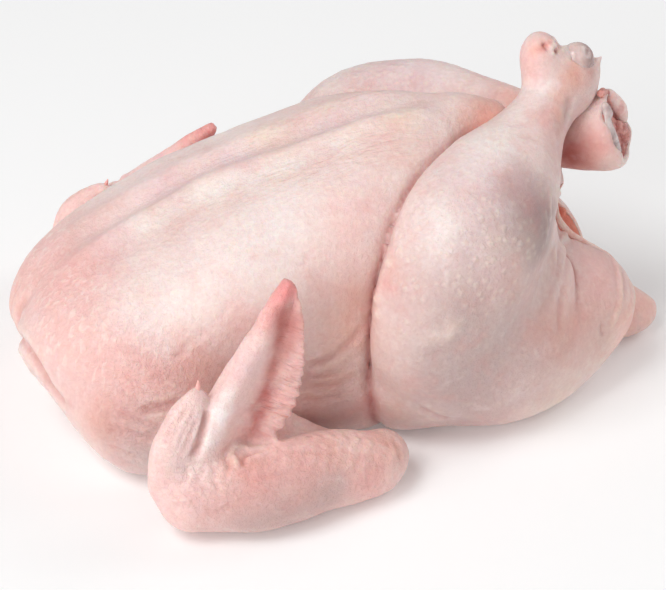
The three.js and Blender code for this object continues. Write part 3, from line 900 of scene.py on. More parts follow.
# %% Where the folds of the wing are
WING_FOLDS = [
    (1.2, 1.3, [(206, 406), (205.5, 418), (203, 430), (198, 447), (191, 460)]),  # thumb and hand
    (0.8, 0.4, [(194, 402), (185, 415), (176, 432), (170, 450)]),
    (0.8, 0.4, [(198, 404), (190, 420), (182, 437), (176, 455)]),
    (0.8, 0.4, [(202, 407), (196, 422), (188, 440), (182, 458)]),
    (0.8, 0.35, [(204, 415), (200, 430), (194, 445), (188, 460)]),
    (0.8, 0.35, [(189, 405), (179, 418), (170, 432), (164, 450)]),
    (0.7, -0.6, [(169, 502), (180, 500.5), (192, 501)]),  # wrist
    (0.9, 0.4, [(184, 466), (187, 474), (183, 483), (178, 490)]),
    (0.8, 0.3, [(193, 470), (198, 477), (196, 486)]),
    (0.9, -0.4, [(204, 464), (209, 472), (206, 481), (211, 488)]),
    (0.8, 0.35, [(217, 472), (214, 480), (218, 489), (214, 497)]),
    (0.8, -0.3, [(188, 488), (196, 493), (205, 493)]),
    (0.9, 0.5, [(217, 513), (225, 509), (232, 506)]),
    (1.3, -1.2, [(264, 445), (252, 450), (243, 448), (235, 449), (231.5, 456), (236, 463), (238, 472)]),
    (1.0, 1.0, [(263, 451), (250, 454), (243, 458), (243, 468)]),
    (0.9, 0.5, [(228, 460), (228, 470), (224, 480)]),
    (1.4, 0.5, [(392, 438), (398, 447), (399, 460)]),  # elbow
]
# ridges over the roots of the wing quills: a row of tops along the forearm, each with one or two short ridges
QUILL_TOPS = [(262 + 13.2 * i, 449 - 14 * np.sin(np.pi * (i + 1.5) / 12)) for i in range(11)]
WING_FOLDS += [(1.7, -0.6, [(x + 5, y), (x + 1, y + 6), (x - 5, y + 15)]) for x, y in QUILL_TOPS[:9]]
WING_FOLDS += [(2.0, -0.3, [(x + 5, y), (x + 1, y + 6), (x - 5, y + 15)]) for x, y in QUILL_TOPS[9:]]
WING_FOLDS += [(1.5, -0.35, [(x + 1, y + 19), (x - 3, y + 26), (x - 8, y + 33)]) for x, y in QUILL_TOPS[:9]]
print(len(WING_FOLDS), "folds on each wing")


# %% Move the vertices
def place_all(rows, field):
    """Rows that end in pixels, with the pixels turned into places on the skin. All rays go out together."""
    counts = [len(np.reshape(row[-1], (-1, 2))) for row in rows]
    places = seen_at(np.concatenate([np.reshape(row[-1], (-1, 2)) for row in rows]), field)
    split = np.split(places, np.cumsum(counts)[:-1])
    return [(*row[:-1], place if len(place) > 1 else place[0]) for row, place in zip(rows, split)]


placed = [place_all(rows, carcass) for rows in (PAIRED_FOLDS, RIGHT_FOLDS, PAIRED_LUMPS, RIGHT_LUMPS)]
paired_folds, right_folds, paired_lumps, right_lumps = placed
right_folds += [(width, depth, settle(carcass, np.array(path, float), passes=4, reach=6))
                for width, depth, path in FRONT_FOLDS]


def relief_of_carcass(points):
    """Sum of all folds and lumps, the paired ones on both sides, and of three noises. It fades out in the
    lowest 3 mm, so that the bird stays flat on the table."""
    moved = layered_noise(points, [(0.45, 17, 1), (0.22, 7.5, 2), (0.1, 4, 3)])
    other = points * OTHER_SIDE
    for width, depth, path in paired_folds:
        moved += fold(points, path, width, depth) + fold(other, path, width, depth)
    for width, depth, path in right_folds:
        moved += fold(points, path, width, depth)
    for width, height, place in paired_lumps:
        moved += lump(points, place, width, height) + lump(other, place, width, height)
    for width, height, place in right_lumps:
        moved += lump(points, place, width, height)
    return moved * ramp(points[:, 2], 0, 3)


def relief_of_wing(points, paths):
    """The same for a wing: three finer noises and its folds."""
    moved = layered_noise(points, [(0.3, 11, 4), (0.16, 5, 5), (0.07, 2.6, 6)])
    for width, depth, path in paths:
        moved += fold(points, path, width, depth)
    return moved * ramp(points[:, 2], 0, 3)


skin, relief = {}, {}
wings = {"right_wing": (right_wing, RIGHT_WING), "left_wing": (left_wing, LEFT_WING)}
for name, (vertices, faces) in bare.items():
    if name in wings:
        moved = relief_of_wing(vertices, place_all(WING_FOLDS, wings[name][0]))
    else:
        moved = relief_of_carcass(vertices)
    relief[name] = moved
    skin[name] = (vertices + vertex_normals(vertices, faces) * moved[:, None], faces)
    print(name, "relief from", moved.min().round(1), "to", moved.max().round(1), "mm")

# %% [markdown]
# ## Colour zones
#
# Raw skin has no colour of its own: it shows what lies beneath. Fat makes it cream, muscle makes it mauve,
# blood makes it pink in the folds and red in the wing tips. Some patches are painted light and shade as well:
# painted shade in folds, hollows, under the wing and on the sides turned from the light, and painted
# highlights on ridges, on the knee and on the hand, and painted light on the tail. An artist could paint this
# with a brush. Here colour comes in soft patches, each a named tint with a radius, a strength and a place, so
# that every patch can be changed by a number. They are mixed at every vertex, and the edges of the patches
# wander because noise first moves the points a little.

# %% Tints
def srgb(red, green, blue):
    """A colour as seen on screen, 0 to 255, to the linear values that shaders use."""
    value = np.array([red, green, blue]) / 255
    return np.where(value <= 0.04045, value / 12.92, ((value + 0.055) / 1.055) ** 2.4)


TINTS = {
    "skin": srgb(240, 213, 208), "wing": srgb(252, 214, 208), "pale": srgb(246, 234, 230),
    "cream": srgb(249, 232, 214), "white": srgb(255, 249, 248),
    "pink": srgb(244, 190, 184), "coral": srgb(238, 170, 150), "blush": srgb(236, 160, 152),
    "mauve": srgb(226, 196, 202), "grey": srgb(190, 172, 170), "shade": srgb(196, 150, 145),
    # The deep red below is used as painted shade in creases, holes, under the wing and where the shanks
    # touch, partly blood colour. The fold tint on the next line darkens folds, partly as blood, partly as
    # painted shade.
    "red": srgb(222, 112, 108), "deep": srgb(180, 92, 86), "gristle": srgb(196, 186, 182),
    "bone": srgb(232, 216, 210), "inside": srgb(244, 152, 130), "fold": srgb(206, 138, 128),
    # The dusky mauve and the plum below are painted shade, partly over mauve-grey and purple skin.
    "dusk": srgb(198, 172, 168), "plum": srgb(148, 114, 116), "rose": srgb(255, 192, 186),
    # The last tint below is a coral with painted light in it, for the tail.
    "tip": srgb(242, 146, 144), "blood": srgb(198, 112, 106), "bright": srgb(255, 198, 186),
}
print(len(TINTS), "tints")

# %% Patches of both sides
# Tint, radius in mm, strength, and the pixel, or the pixels that a streak passes.
PAIRED_PATCHES = [
    ("pale", 26, 0.4, (225, 290)), ("pale", 22, 0.75, (285, 225)), ("pale", 20, 0.6, (160, 320)),
    # Cream and pale along the near crest of the breast, on these two lines: partly paler skin over fat,
    # partly a painted highlight on the ridge.
    ("cream", 9, 0.6, (150, 219)), ("cream", 9, 0.6, (215, 190)), ("cream", 9, 0.6, (280, 166)),
    ("cream", 8, 0.5, (345, 140)), ("cream", 8, 0.6, (400, 118)), ("pale", 7, 0.6, (445, 108)),
    # Mauve in the furrow between the breasts, on these two lines: partly muscle under the skin, partly
    # painted shade in the furrow.
    ("mauve", 12, 0.5, (170, 190)), ("mauve", 12, 0.65, (240, 160)), ("mauve", 12, 0.5, (330, 120)),
    ("mauve", 14, 0.4, (110, 240)),
    # A pale streak along the near crest: a painted highlight on the ridge.
    ("pale", 5, 0.7, [(138, 225), (206, 194), (260, 174), (338, 144)]),
    ("pink", 20, 0.75, (55, 290)), ("coral", 12, 0.4, (14, 295)), ("pink", 14, 0.6, (80, 265)),
    ("pink", 18, 0.6, (70, 340)), ("pink", 20, 0.6, (110, 400)), ("blush", 9, 0.25, (105, 355)),
    ("coral", 9, 0.35, (200, 378)),
    ("blush", 12, 0.6, (150, 385)), ("coral", 8, 0.6, (100, 425)), ("shade", 14, 0.6, (200, 385)),
    ("shade", 12, 0.4, (140, 430)), ("grey", 14, 0.7, (150, 462)), ("blush", 10, 0.35, (190, 350)),
    ("blush", 9, 0.35, (240, 320)), ("pink", 14, 0.5, (345, 230)), ("coral", 10, 0.2, (400, 150)),
    ("coral", 9, 0.5, (350, 300)), ("coral", 10, 0.6, (345, 330)), ("pink", 12, 0.5, (330, 290)),
    # The grey patch below is partly greyer skin, partly painted shade under the flank; the deep red on the
    # next line is a painted shadow in the gap above the wing.
    ("coral", 11, 0.4, (330, 387)), ("grey", 8, 0.4, (345, 402)),
    ("shade", 9, 0.5, (321, 421)), ("deep", 6, 0.4, (300, 420)),
    ("coral", 9, 0.7, (488, 112)), ("coral", 8, 0.25, (470, 125)), ("mauve", 18, 0.3, (470, 200)),
    # The two pale patches below, high on the drumstick and on the knee, are painted highlights.
    ("pale", 12, 0.8, (497, 140)), ("pale", 12, 0.6, (440, 238)), ("mauve", 12, 0.5, (480, 260)),
    # The grey patches below are partly greyer skin on the thigh, partly painted shade under the ridge over
    # it.
    ("grey", 10, 0.9, (437, 360)), ("grey", 10, 0.5, (455, 385)), ("cream", 12, 0.35, (500, 262)),
    ("skin", 18, 0.5, (450, 310)), ("shade", 12, 0.45, (390, 405)), ("blush", 7, 0.45, (375, 405)),
    ("coral", 12, 0.5, (572, 325)), ("coral", 9, 0.35, (545, 330)), ("cream", 12, 0.45, (610, 335)),
    ("cream", 14, 0.4, (560, 395)), ("pink", 16, 0.45, (597, 272)), ("shade", 10, 0.3, (545, 285)),
    # The dusky mauve patches below and on the next line, and the plum, grey and fold patches two lines down,
    # are painted shade on the thigh, its lower edge and its back, partly over greyer skin.
    ("pink", 5, 0.7, (385, 285)), ("dusk", 24, 0.85, (465, 310)), ("dusk", 22, 0.5, (440, 385)),
    ("dusk", 24, 0.75, (500, 365)), ("shade", 18, 0.3, (468, 420)), ("shade", 13, 0.55, (600, 329)),
    ("plum", 16, 0.35, (468, 421)), ("grey", 13, 0.45, (450, 398)), ("fold", 13, 0.45, (560, 348)),
    # The pale patch below, on the knee, is a painted highlight.
    ("mauve", 10, 0.3, (505, 185)), ("pale", 8, 0.6, (436, 226)), ("coral", 8, 0.3, (505, 285)),
    # The plum patch below is painted shade on the back of the drumstick, partly purple skin.
    ("white", 11, 0.3, (470, 168)), ("coral", 7, 0.3, (392, 262)), ("plum", 9, 0.35, (527, 236)),
    ("blush", 14, 0.22, (603, 272)), ("blush", 13, 0.2, (588, 312)), ("mauve", 10, 0.3, (500, 272)),
    # The two light coral patches below, on the tail, are painted light where the lamps reach it little.
    ("shade", 10, 0.4, (110, 432)), ("bright", 13, 0.9, (640, 303)), ("bright", 12, 0.8, (628, 325)),
]
print(len(PAIRED_PATCHES), "patches on each side")

# %% Patches of one side
RIGHT_PATCHES = [
    # Plum, dusky mauve and grey on these three lines, on the back of the drumstick and its web: partly
    # purple-grey skin, partly painted shade on the side turned from the light.
    ("plum", 13, 0.85, (542, 230)), ("plum", 12, 0.45, (531, 205)), ("plum", 9, 0.3, (522, 178)),
    ("dusk", 12, 0.5, (516, 215)),
    ("grey", 8, 0.5, (548, 240)), ("grey", 6, 0.5, (556, 210)),
    # Pale lines on the raised ridges of the web and along its edge, on these three lines: partly pale skin,
    # partly painted highlight on the ridges.
    ("pale", 0.6, 0.5, [(551, 184), (548, 200), (549, 222), (546, 242)]),
    ("pale", 0.6, 0.5, [(554, 238), (553, 250), (553, 264)]),
    ("pale", 0.9, 0.7, [(556, 180), (560, 200), (562, 220), (563, 240), (562, 265), (560, 292)]),
    ("pale", 8, 0.5, (520, 110)), ("pale", 8, 0.7, (547, 86)), ("shade", 6, 0.6, (547, 121)),
    ("pink", 8, 0.6, (530, 62)), ("coral", 6, 0.75, (572, 74)),
    ("coral", 5, 0.5, (562, 92)), ("blush", 5, 0.3, (553, 108)), ("bone", 3.4, 0.9, (570, 50)),
    ("bone", 3, 0.6, (567, 58)), ("gristle", 2.4, 0.7, (552, 40)), ("red", 1.7, 0.8, (544, 46)),
    ("coral", 4, 0.5, (538, 44)), ("pale", 1.6, 0.7, (550, 48)), ("pale", 1.4, 0.7, (561, 51)),
    # Deep red in the hole and grey in the groove below the hock: partly their own colour, partly painted
    # shade.
    ("deep", 1.3, 0.9, (556, 52)), ("grey", 3.5, 0.5, (567, 110)), ("white", 4.5, 0.5, (550, 89)),
    ("rose", 5, 0.5, (546, 122)),
    ("shade", 4, 0.4, (560, 125)), ("fold", 4, 0.6, (591, 72)), ("coral", 5, 0.5, (560, 108)),
]
LEFT_PATCHES = [
    # Fold and deep red low on the left shank, where the right shank lies against it, and the fold tint on the
    # next line: partly red skin, partly painted shadow.
    ("blush", 9, 0.5, (598, 148)), ("fold", 8, 0.7, (580, 156)), ("deep", 8, 0.9, (570, 152)),
    ("fold", 9, 0.4, (592, 130)),
    ("pale", 5, 0.5, (590, 108)), ("mauve", 14, 0.4, (420, 75)), ("coral", 6, 0.4, (505, 95)),
]
print(len(RIGHT_PATCHES), "patches on the right and", len(LEFT_PATCHES), "on the left")

# %% Patches of the wings
WING_PATCHES = [
    ("tip", 8, 0.9, (287, 290)), ("tip", 6, 0.45, (272, 312)), ("rose", 7, 0.7, (300, 325)),
    ("rose", 8, 0.8, (298, 365)), ("rose", 8, 0.8, (287, 405)), ("mauve", 8, 0.4, (248, 368)),
    # White along the bone of the hand: partly pale skin over the bone, partly a painted highlight on its
    # ridge.
    ("white", 6, 0.9, (210, 438)), ("white", 5, 0.9, (219, 415)), ("white", 4, 0.5, (228, 395)),
    # A dark red streak down the hollow of the hand: partly blood in the thin skin, partly painted shade in
    # the hollow.
    ("blood", 4.2, 0.95, [(286, 312), (280, 340), (272, 372), (262, 403), (252, 430)]),
    # White on the thumb and at the wrist: partly pale skin, partly painted light on the sides turned to the
    # lamps.
    ("white", 7, 0.35, (180, 430)), ("white", 11, 0.45, (194, 479)), ("pink", 10, 0.3, (168, 482)),
    # The dusky mauve patches here and further down this list are painted shade on the underside of the
    # forearm.
    ("dusk", 13, 0.6, (256, 512)), ("rose", 7, 0.4, (180, 432)), ("coral", 12, 0.45, (330, 450)),
    ("pink", 14, 0.6, (300, 468)),
    ("coral", 9, 0.55, (390, 445)), ("blush", 9, 0.3, (262, 478)), ("dusk", 13, 0.7, (330, 498)),
    ("dusk", 13, 0.7, (290, 514)), ("dusk", 14, 0.7, (245, 524)), ("coral", 8, 0.35, (232, 468)),
    ("blush", 10, 0.35, (250, 492)), ("blush", 11, 0.25, (300, 482)), ("blush", 10, 0.35, (200, 508)),
    ("blush", 10, 0.4, (368, 480)),
]
LEFT_WING_PATCHES = [("tip", 9, 0.8, (303, 330)), ("rose", 14, 0.8, (285, 350))]
print(len(WING_PATCHES), "patches on each wing,", len(LEFT_WING_PATCHES), "more on the left one")


# %% How a patch is painted
def wander(points):
    """The points, each axis moved by its own noise, up to about 3 mm."""
    wide = np.column_stack([noise(points, 9, 20 + i) for i in range(3)])
    close = np.column_stack([noise(points, 4, 30 + i) for i in range(3)])
    return points + 2.4 * wide + 1.2 * close


def reach_of(points, place, radius):
    """Distance to a place, or to a smooth path of places, which isn't worked out beyond three radii."""
    if place.ndim == 1:
        return np.linalg.norm(points - place, axis=1)
    path = smooth_path(place, 4)
    distance = np.full(len(points), 1e3)
    close = ((points > path.min(0) - 3 * radius) & (points < path.max(0) + 3 * radius)).all(1)
    if close.any():
        distance[close] = path_reach(points[close], path)[0]
    return distance


def paint(colour, points, patches):
    """Patch by patch: the colour mixed with the tint by the strength times a bell curve of the distance."""
    for tint, radius, strength, place in patches:
        share = strength * hump(reach_of(points, place, radius), 0, radius)
        colour += share[:, None] * (tint - colour)
    return colour


def paint_folds(colour, height):
    """Folds turn darker and redder, partly blood and partly painted shade, and lumps paler, as fat: a share
    of how far the relief went in or out, in mm.
    """
    inward, outward = np.clip(-height / 2.4, 0, 0.55), np.clip(height / 3.5, 0, 0.3)
    # painted shade and blood red in the folds
    colour += inward[:, None] * (TINTS["fold"] - colour)
    return colour + outward[:, None] * (TINTS["cream"] - colour)


def place_patches(patches, field):
    """The patches with their tints' colours and their places on the skin."""
    return [(TINTS[tint], *rest) for tint, *rest in place_all(patches, field)]


print("five points 4 mm apart wander by", np.linalg.norm(wander(along_x) - along_x, axis=1).round(1), "mm")


# %% Tint of the body and of a wing
def beside_middle(patches, gap):
    """The patches whose place, or whose streak's start, is more than `gap` mm to the right of the middle.
    Only these are painted on the left side too, because one on the middle reaches both sides already."""
    return [patch for patch in patches if np.atleast_2d(patch[-1])[0, 1] < -gap]


def crease_shade(points):
    """1 in the sharp fold between a leg and the trunk, which is painted dark red as shade and blood: a bell
    curve of the difference of their distances.
    """
    points = points.astype(np.float32)
    body = soft_min(trunk(points), np.minimum(rump(points), rump(mirrored(points))), 12)
    sharp = [hump(body - leg, 0.4, 1.3) * hump(leg, 0, 4) for leg in (right_leg(points), left_leg(points))]
    return np.maximum(*sharp) * (1 - fold_fades(points))


def tint_of_carcass(points, height):
    """Patches of both sides, then of the right and of the left, some of them painted shade and highlights,
    the folds and the creases beside the legs, painted darker partly as shade, and the raw inside of the vent,
    which is kept off the left shank above it."""
    moved = wander(points)
    colour = np.tile(TINTS["skin"], (len(points), 1))
    paired = place_patches(PAIRED_PATCHES, carcass)
    colour = paint(colour, moved, paired)
    colour = paint(colour, moved * OTHER_SIDE, beside_middle(paired, gap=12))
    colour = paint(colour, moved, place_patches(RIGHT_PATCHES, carcass))
    colour = paint(colour, moved, place_patches(LEFT_PATCHES, carcass))
    colour = paint_folds(colour, height)
    # painted shade in the crease beside each leg, partly blood red, where the mesh is too coarse to darken it
    colour += 0.8 * crease_shade(points)[:, None] * (TINTS["deep"] - colour)
    depth_in = (1 - ramp(vent(points.astype(np.float32)), 0.3, 2.0)) * ramp(points[:, 0], 30, 36)
    depth_in *= 1 - ramp(past_left_ankle(points), -10, -5) * ramp(points[:, 2], 66, 72)
    return colour + depth_in[:, None] * (TINTS["inside"] - colour)


def tint_of_wing(points, patches, height):
    """Pinker skin than the body's, its patches, some of them painted shade and highlights, and its folds,
    painted darker partly as shade.
    """
    colour = np.tile(TINTS["wing"], (len(points), 1))
    return paint_folds(paint(colour, wander(points), patches), height)


print("deep crease beside the knee:", crease_shade(seen_at([(388, 240), (383, 262)], carcass)).round(2))


# %% [markdown]
# ## How the skin feels
#
# Plucked skin isn't alike all over. A second layer says where each kind of fine relief belongs: follicles,
# wrinkles along the body, streaks down the neck and shoulder, and a fine crinkle. A texture image could hold
# this, but it would need seams. Four numbers at every vertex do without, painted with patches as before.

# %% Feel: follicles, wrinkles along, streaks down, crinkle
FOLLICLES, ALONG, DOWN, CRINKLE = np.eye(4)
PLAIN = np.array([0.35, 0.0, 0.0, 0.35])
PAIRED_FEEL = [
    (PLAIN * 0.3, 28, 0.9, (225, 285)), (PLAIN * 0.3, 22, 0.9, (290, 225)),
    (0.6 * FOLLICLES + ALONG, 12, 0.9, (400, 140)), (0.6 * FOLLICLES + ALONG, 12, 0.9, (345, 155)),
    (0.6 * FOLLICLES + ALONG, 12, 0.8, (285, 180)), (0.6 * FOLLICLES + 0.7 * ALONG, 12, 0.8, (220, 205)),
    (0.5 * FOLLICLES + 0.5 * ALONG, 12, 0.7, (160, 235)),
    (0.5 * FOLLICLES + 0.6 * ALONG, 16, 0.7, (250, 150)),
    (DOWN + 0.4 * CRINKLE, 22, 0.9, (60, 310)), (DOWN + 0.5 * CRINKLE, 22, 0.9, (110, 350)),
    (0.8 * DOWN + 0.8 * CRINKLE, 18, 0.8, (160, 370)), (ALONG + 1.2 * CRINKLE, 18, 0.9, (140, 425)),
    (0.4 * ALONG + CRINKLE, 16, 0.9, (335, 385)), (0.5 * DOWN + 0.3 * CRINKLE, 18, 0.7, (345, 280)),
    (0.7 * FOLLICLES + 0.4 * CRINKLE, 22, 0.9, (460, 220)),
    (1.2 * FOLLICLES + 0.5 * CRINKLE, 20, 0.9, (500, 260)),
    (FOLLICLES + 0.4 * CRINKLE, 20, 0.8, (420, 290)),
    (0.3 * FOLLICLES + 0.6 * CRINKLE, 20, 0.9, (460, 370)),
    (0.4 * DOWN + 0.3 * CRINKLE, 16, 0.9, (595, 290)),
]
RIGHT_FEEL = [
    (0.5 * FOLLICLES + 0.3 * CRINKLE, 14, 0.9, (520, 150)), (0.2 * CRINKLE, 10, 0.9, (545, 60)),
    (0.8 * CRINKLE + 0.6 * DOWN, 9, 0.9, (555, 230)),
]
LEFT_FEEL = [(FOLLICLES + 0.3 * CRINKLE, 20, 1.0, (400, 70)), (FOLLICLES, 16, 1.0, (450, 80))]
WING_FEEL = [
    (0.2 * CRINKLE, 7, 0.9, (215, 425)), (0.3 * CRINKLE, 8, 0.8, (245, 370)),
    (ALONG + 0.5 * CRINKLE, 9, 1.0, (292, 380)),
    (ALONG + 0.5 * CRINKLE, 9, 1.0, (280, 415)), (0.7 * ALONG + 0.5 * CRINKLE, 7, 1.0, (297, 335)),
    (0.5 * FOLLICLES + 0.6 * CRINKLE, 14, 0.9, (330, 445)),
    (0.5 * FOLLICLES + 0.5 * CRINKLE, 12, 0.9, (380, 450)),
    (CRINKLE, 12, 0.8, (200, 470)), (0.5 * CRINKLE, 12, 0.7, (250, 520)),
]


def feel_of_carcass(points):
    """Plain skin, then the patches as for the tint, fading to a third at the table."""
    feel = np.tile(PLAIN, (len(points), 1))
    paired = place_all(PAIRED_FEEL, carcass)
    feel = paint(feel, points, paired)
    feel = paint(feel, points * OTHER_SIDE, beside_middle(paired, gap=8))
    feel = paint(feel, points, place_all(RIGHT_FEEL + LEFT_FEEL, carcass))
    return feel * (0.3 + 0.7 * ramp(points[:, 2], 0, 6))[:, None]


def feel_of_wing(points, patches):
    """Crinkled skin, then the wing's patches."""
    return paint(np.tile(0.15 * FOLLICLES + 0.7 * CRINKLE, (len(points), 1)), points, patches)


print(len(PAIRED_FEEL + RIGHT_FEEL + LEFT_FEEL), "feel patches on the body,", len(WING_FEEL), "on a wing")


# %% [markdown]
# ## Skin material
#
# One shader serves the whole bird. It takes the painted tint and breaks it up: clouds of blood and fat, paler
# follicles, streaks and fine specks. The same patterns feed a bump, and light scatters a few millimetres
# below the surface, red furthest, which is what makes skin look soft. An image wrapped round the bird would
# stretch over the knees and show seams, so all patterns are solid textures in object space.

# %% Node helper
class Graph:
    """Adds nodes to a material. An input is given as a value or as the socket that feeds it."""

    def __init__(self, name):
        self.material = bpy.data.materials.new(name)
        self.material.use_nodes = True
        self.tree = self.material.node_tree
        self.shader = self.tree.nodes["Principled BSDF"]

    def feed(self, socket, value):
        """Links an output to the input, or sets the input's own value."""
        if isinstance(value, bpy.types.NodeSocket):
            self.tree.links.new(value, socket)
        else:
            socket.default_value = value

    def add(self, kind, inputs, **settings):
        """A new node with its settings, and its inputs fed by name or number."""
        node = self.tree.nodes.new("ShaderNode" + kind)
        for key, value in settings.items():
            setattr(node, key, value)
        for key, value in inputs.items():
            self.feed(node.inputs[key], value)
        return node

    def in_mm(self):
        """The object's own coordinates in millimetres."""
        place = self.add("TexCoord", {}).outputs["Object"]
        return self.add("VectorMath", {0: place, 3: 1 / MM}, operation="SCALE").outputs[0]

    def math(self, operation, a, b=0.0):
        """One sum on one or two numbers."""
        return self.add("Math", {0: a, 1: b}, operation=operation).outputs[0]

    def total(self, *terms):
        """All terms added up."""
        result = terms[0]
        for term in terms[1:]:
            result = self.math("ADD", result, term)
        return result

    def product(self, *factors):
        """All factors multiplied."""
        result = factors[0]
        for factor in factors[1:]:
            result = self.math("MULTIPLY", result, factor)
        return result

    def smooth(self, value, start, end, low=0.0, high=1.0):
        """`low` at the start and `high` at the end, with the cubic of ramp between them."""
        inputs = {"Value": value, "From Min": start, "From Max": end, "To Min": low, "To Max": high}
        return self.add("MapRange", inputs, interpolation_type="SMOOTHSTEP").outputs[0]

    def mix(self, share, a, b, blend="MIX"):
        """Colour a, with b laid over it by the share."""
        node = self.add("Mix", {0: share, 6: a, 7: b}, data_type="RGBA", blend_type=blend)
        return node.outputs[2]

    def noise(self, at, scale, detail=2.0, roughness=0.55, distortion=0.0):
        """Cloudy values round a half, with clouds about one over the scale wide."""
        inputs = {"Vector": at, "Scale": scale, "Detail": detail, "Roughness": roughness}
        return self.add("TexNoise", {**inputs, "Distortion": distortion}).outputs[0]

    def stretched(self, at, turn_degrees, scale):
        """The coordinates turned and scaled, so that a pattern on them is drawn out along one axis."""
        inputs = {"Vector": at, "Rotation": [np.radians(angle) for angle in turn_degrees], "Scale": scale}
        return self.add("Mapping", inputs).outputs[0]


def opaque(red, green, blue):
    """A colour as seen on screen, as the four values of a colour socket."""
    return (*srgb(red, green, blue), 1.0)


print("a node helper with", len([name for name in vars(Graph) if name[0] != "_"]), "methods")


# %% Skin patterns
def skin_patterns(g, at, follicle_spacing):
    """Values from 0 to 1 at a place in mm. Folds are noise that is drawn out along one axis, a dome is a
    smooth step down with the distance from a random cell's middle, a pit is a small one in it, and a crease
    is where the wrinkles' noise passes a half."""
    spots = {"Vector": at, "Scale": 1 / follicle_spacing, "Randomness": 0.85}
    from_follicle = g.add("TexVoronoi", spots, feature="F1").outputs["Distance"]
    body_way = g.stretched(at, (0, 12, -22), (0.16, 1.0, 1.0))
    down_way = g.stretched(at, (0, 0, 0), (1.0, 1.0, 0.2))
    wrinkles = g.noise(at, 0.6, 3.0, 0.55, 1.2)
    return {
        "clouds": g.noise(at, 0.09, 3.0, 0.6, 0.4),
        "specks": g.noise(at, 0.55, 3.0, 0.6),
        "fine": g.noise(at, 1.7, 2.0, 0.6),
        "dome": g.smooth(from_follicle, 0.05, 0.5, 1.0, 0.0),
        "pit": g.smooth(from_follicle, 0.0, 0.1, 1.0, 0.0),
        "body folds": g.noise(body_way, 0.5, 2.0, 0.5, 0.5),
        "down folds": g.noise(down_way, 0.42, 2.0, 0.5, 0.4),
        "wrinkles": wrinkles,
        "creases": g.smooth(g.math("ABSOLUTE", g.math("SUBTRACT", wrinkles, 0.5)), 0.0, 0.09),
    }


print("noise of scale 0.6 makes wrinkles about", round(1 / 0.6, 1), "mm wide")


# %% Skin colour and skin height
BLOOD_CLOUD, FAT_CLOUD = opaque(226, 140, 132), opaque(248, 238, 235)
FOLLICLE_CREAM, STREAK_CREAM = opaque(252, 238, 222), opaque(252, 236, 226)
WRINKLE_PINK = opaque(238, 184, 170)


def skin_colour(g, tint, pattern, follicles, along, down):
    """The tint mixed with clouds of blood and of fat, times specks, and mixed with domes, streaks and folds,
    each by its pattern times its share of the feel layer."""
    shown = g.mix(g.product(g.smooth(pattern["clouds"], 0.5, 0.72), 0.16), tint, BLOOD_CLOUD)
    shown = g.mix(g.product(g.smooth(pattern["clouds"], 0.46, 0.3), 0.16), shown, FAT_CLOUD)
    red = g.smooth(pattern["specks"], 0.3, 0.7, 0.96, 1.02)
    rest = g.smooth(pattern["specks"], 0.3, 0.7, 0.93, 1.04)
    shown = g.mix(1.0, shown, g.add("CombineColor", {0: red, 1: rest, 2: rest}).outputs[0], "MULTIPLY")
    shown = g.mix(g.product(pattern["dome"], follicles, 0.27), shown, FOLLICLE_CREAM)
    streaks = g.smooth(pattern["down folds"], 0.52, 0.66)
    shown = g.mix(g.product(streaks, down, 0.45), shown, STREAK_CREAM)
    folds = g.smooth(pattern["body folds"], 0.5, 0.66)
    return g.mix(g.product(folds, along, 0.22), shown, WRINKLE_PINK)


def skin_height(g, pattern, follicles, along, down, crinkle):
    """The sum of the patterns, each times its share of the feel layer and its height in mm."""
    follicle = g.math("SUBTRACT", pattern["dome"], g.product(pattern["pit"], 0.5))
    return g.total(
        g.product(follicle, follicles, 0.3),
        g.product(pattern["body folds"], along, 1.0),
        g.product(pattern["down folds"], down, 0.9),
        g.product(pattern["creases"], crinkle, 0.11),
        g.product(pattern["wrinkles"], crinkle, 0.6),
        g.product(pattern["specks"], 0.3),
        g.product(pattern["fine"], 0.14))


print("a follicle's cream in linear values:", np.round(FOLLICLE_CREAM, 2))


# %% Skin shader
def make_skin(name, follicle_spacing, web_ribs):
    """A material of the colour and height above, with follicles that many mm apart. The web of the wing adds
    ribs of up to 3.5 mm, noise drawn out across the web in the hand's own coordinates."""
    g = Graph(name)
    at = g.in_mm()
    tint = g.add("Attribute", {}, attribute_name="tint").outputs["Color"]
    feel = g.add("Attribute", {}, attribute_name="feel")
    follicles, along, down = g.add("SeparateColor", {"Color": feel.outputs["Color"]}).outputs[:3]
    pattern = skin_patterns(g, at, follicle_spacing)
    g.feed(g.shader.inputs["Base Color"], skin_colour(g, tint, pattern, follicles, along, down))
    height = skin_height(g, pattern, follicles, along, down, feel.outputs["Alpha"])
    if web_ribs:
        ribs_at = g.add("Attribute", {}, attribute_name="hand").outputs["Vector"]
        ribs = g.noise(g.stretched(ribs_at, (0, 0, 12), (1.0, 0.14, 0.3)), 0.5, 2.0, 0.5, 0.3)
        height = g.total(height, g.product(ribs, along, 3.5))
    bump = g.add("Bump", {"Height": height, "Distance": MM, "Strength": 1.0})
    g.feed(g.shader.inputs["Normal"], bump.outputs[0])
    g.feed(g.shader.inputs["Roughness"], g.smooth(pattern["specks"], 0.3, 0.7, 0.40, 0.56))
    g.feed(g.shader.inputs["Subsurface Weight"], 0.3)
    g.feed(g.shader.inputs["Subsurface Radius"], (1.0, 0.32, 0.16))
    g.feed(g.shader.inputs["Subsurface Scale"], 3 * MM)
    g.feed(g.shader.inputs["IOR"], 1.4)
    g.feed(g.shader.inputs["Coat Weight"], 0.12)
    g.feed(g.shader.inputs["Coat Roughness"], 0.28)
    return g.material


body_skin = make_skin("raw_skin", follicle_spacing=3.6, web_ribs=False)
wing_skin = make_skin("wing_skin", follicle_spacing=3.2, web_ribs=True)
print("skin shader has", len(body_skin.node_tree.nodes), "nodes")

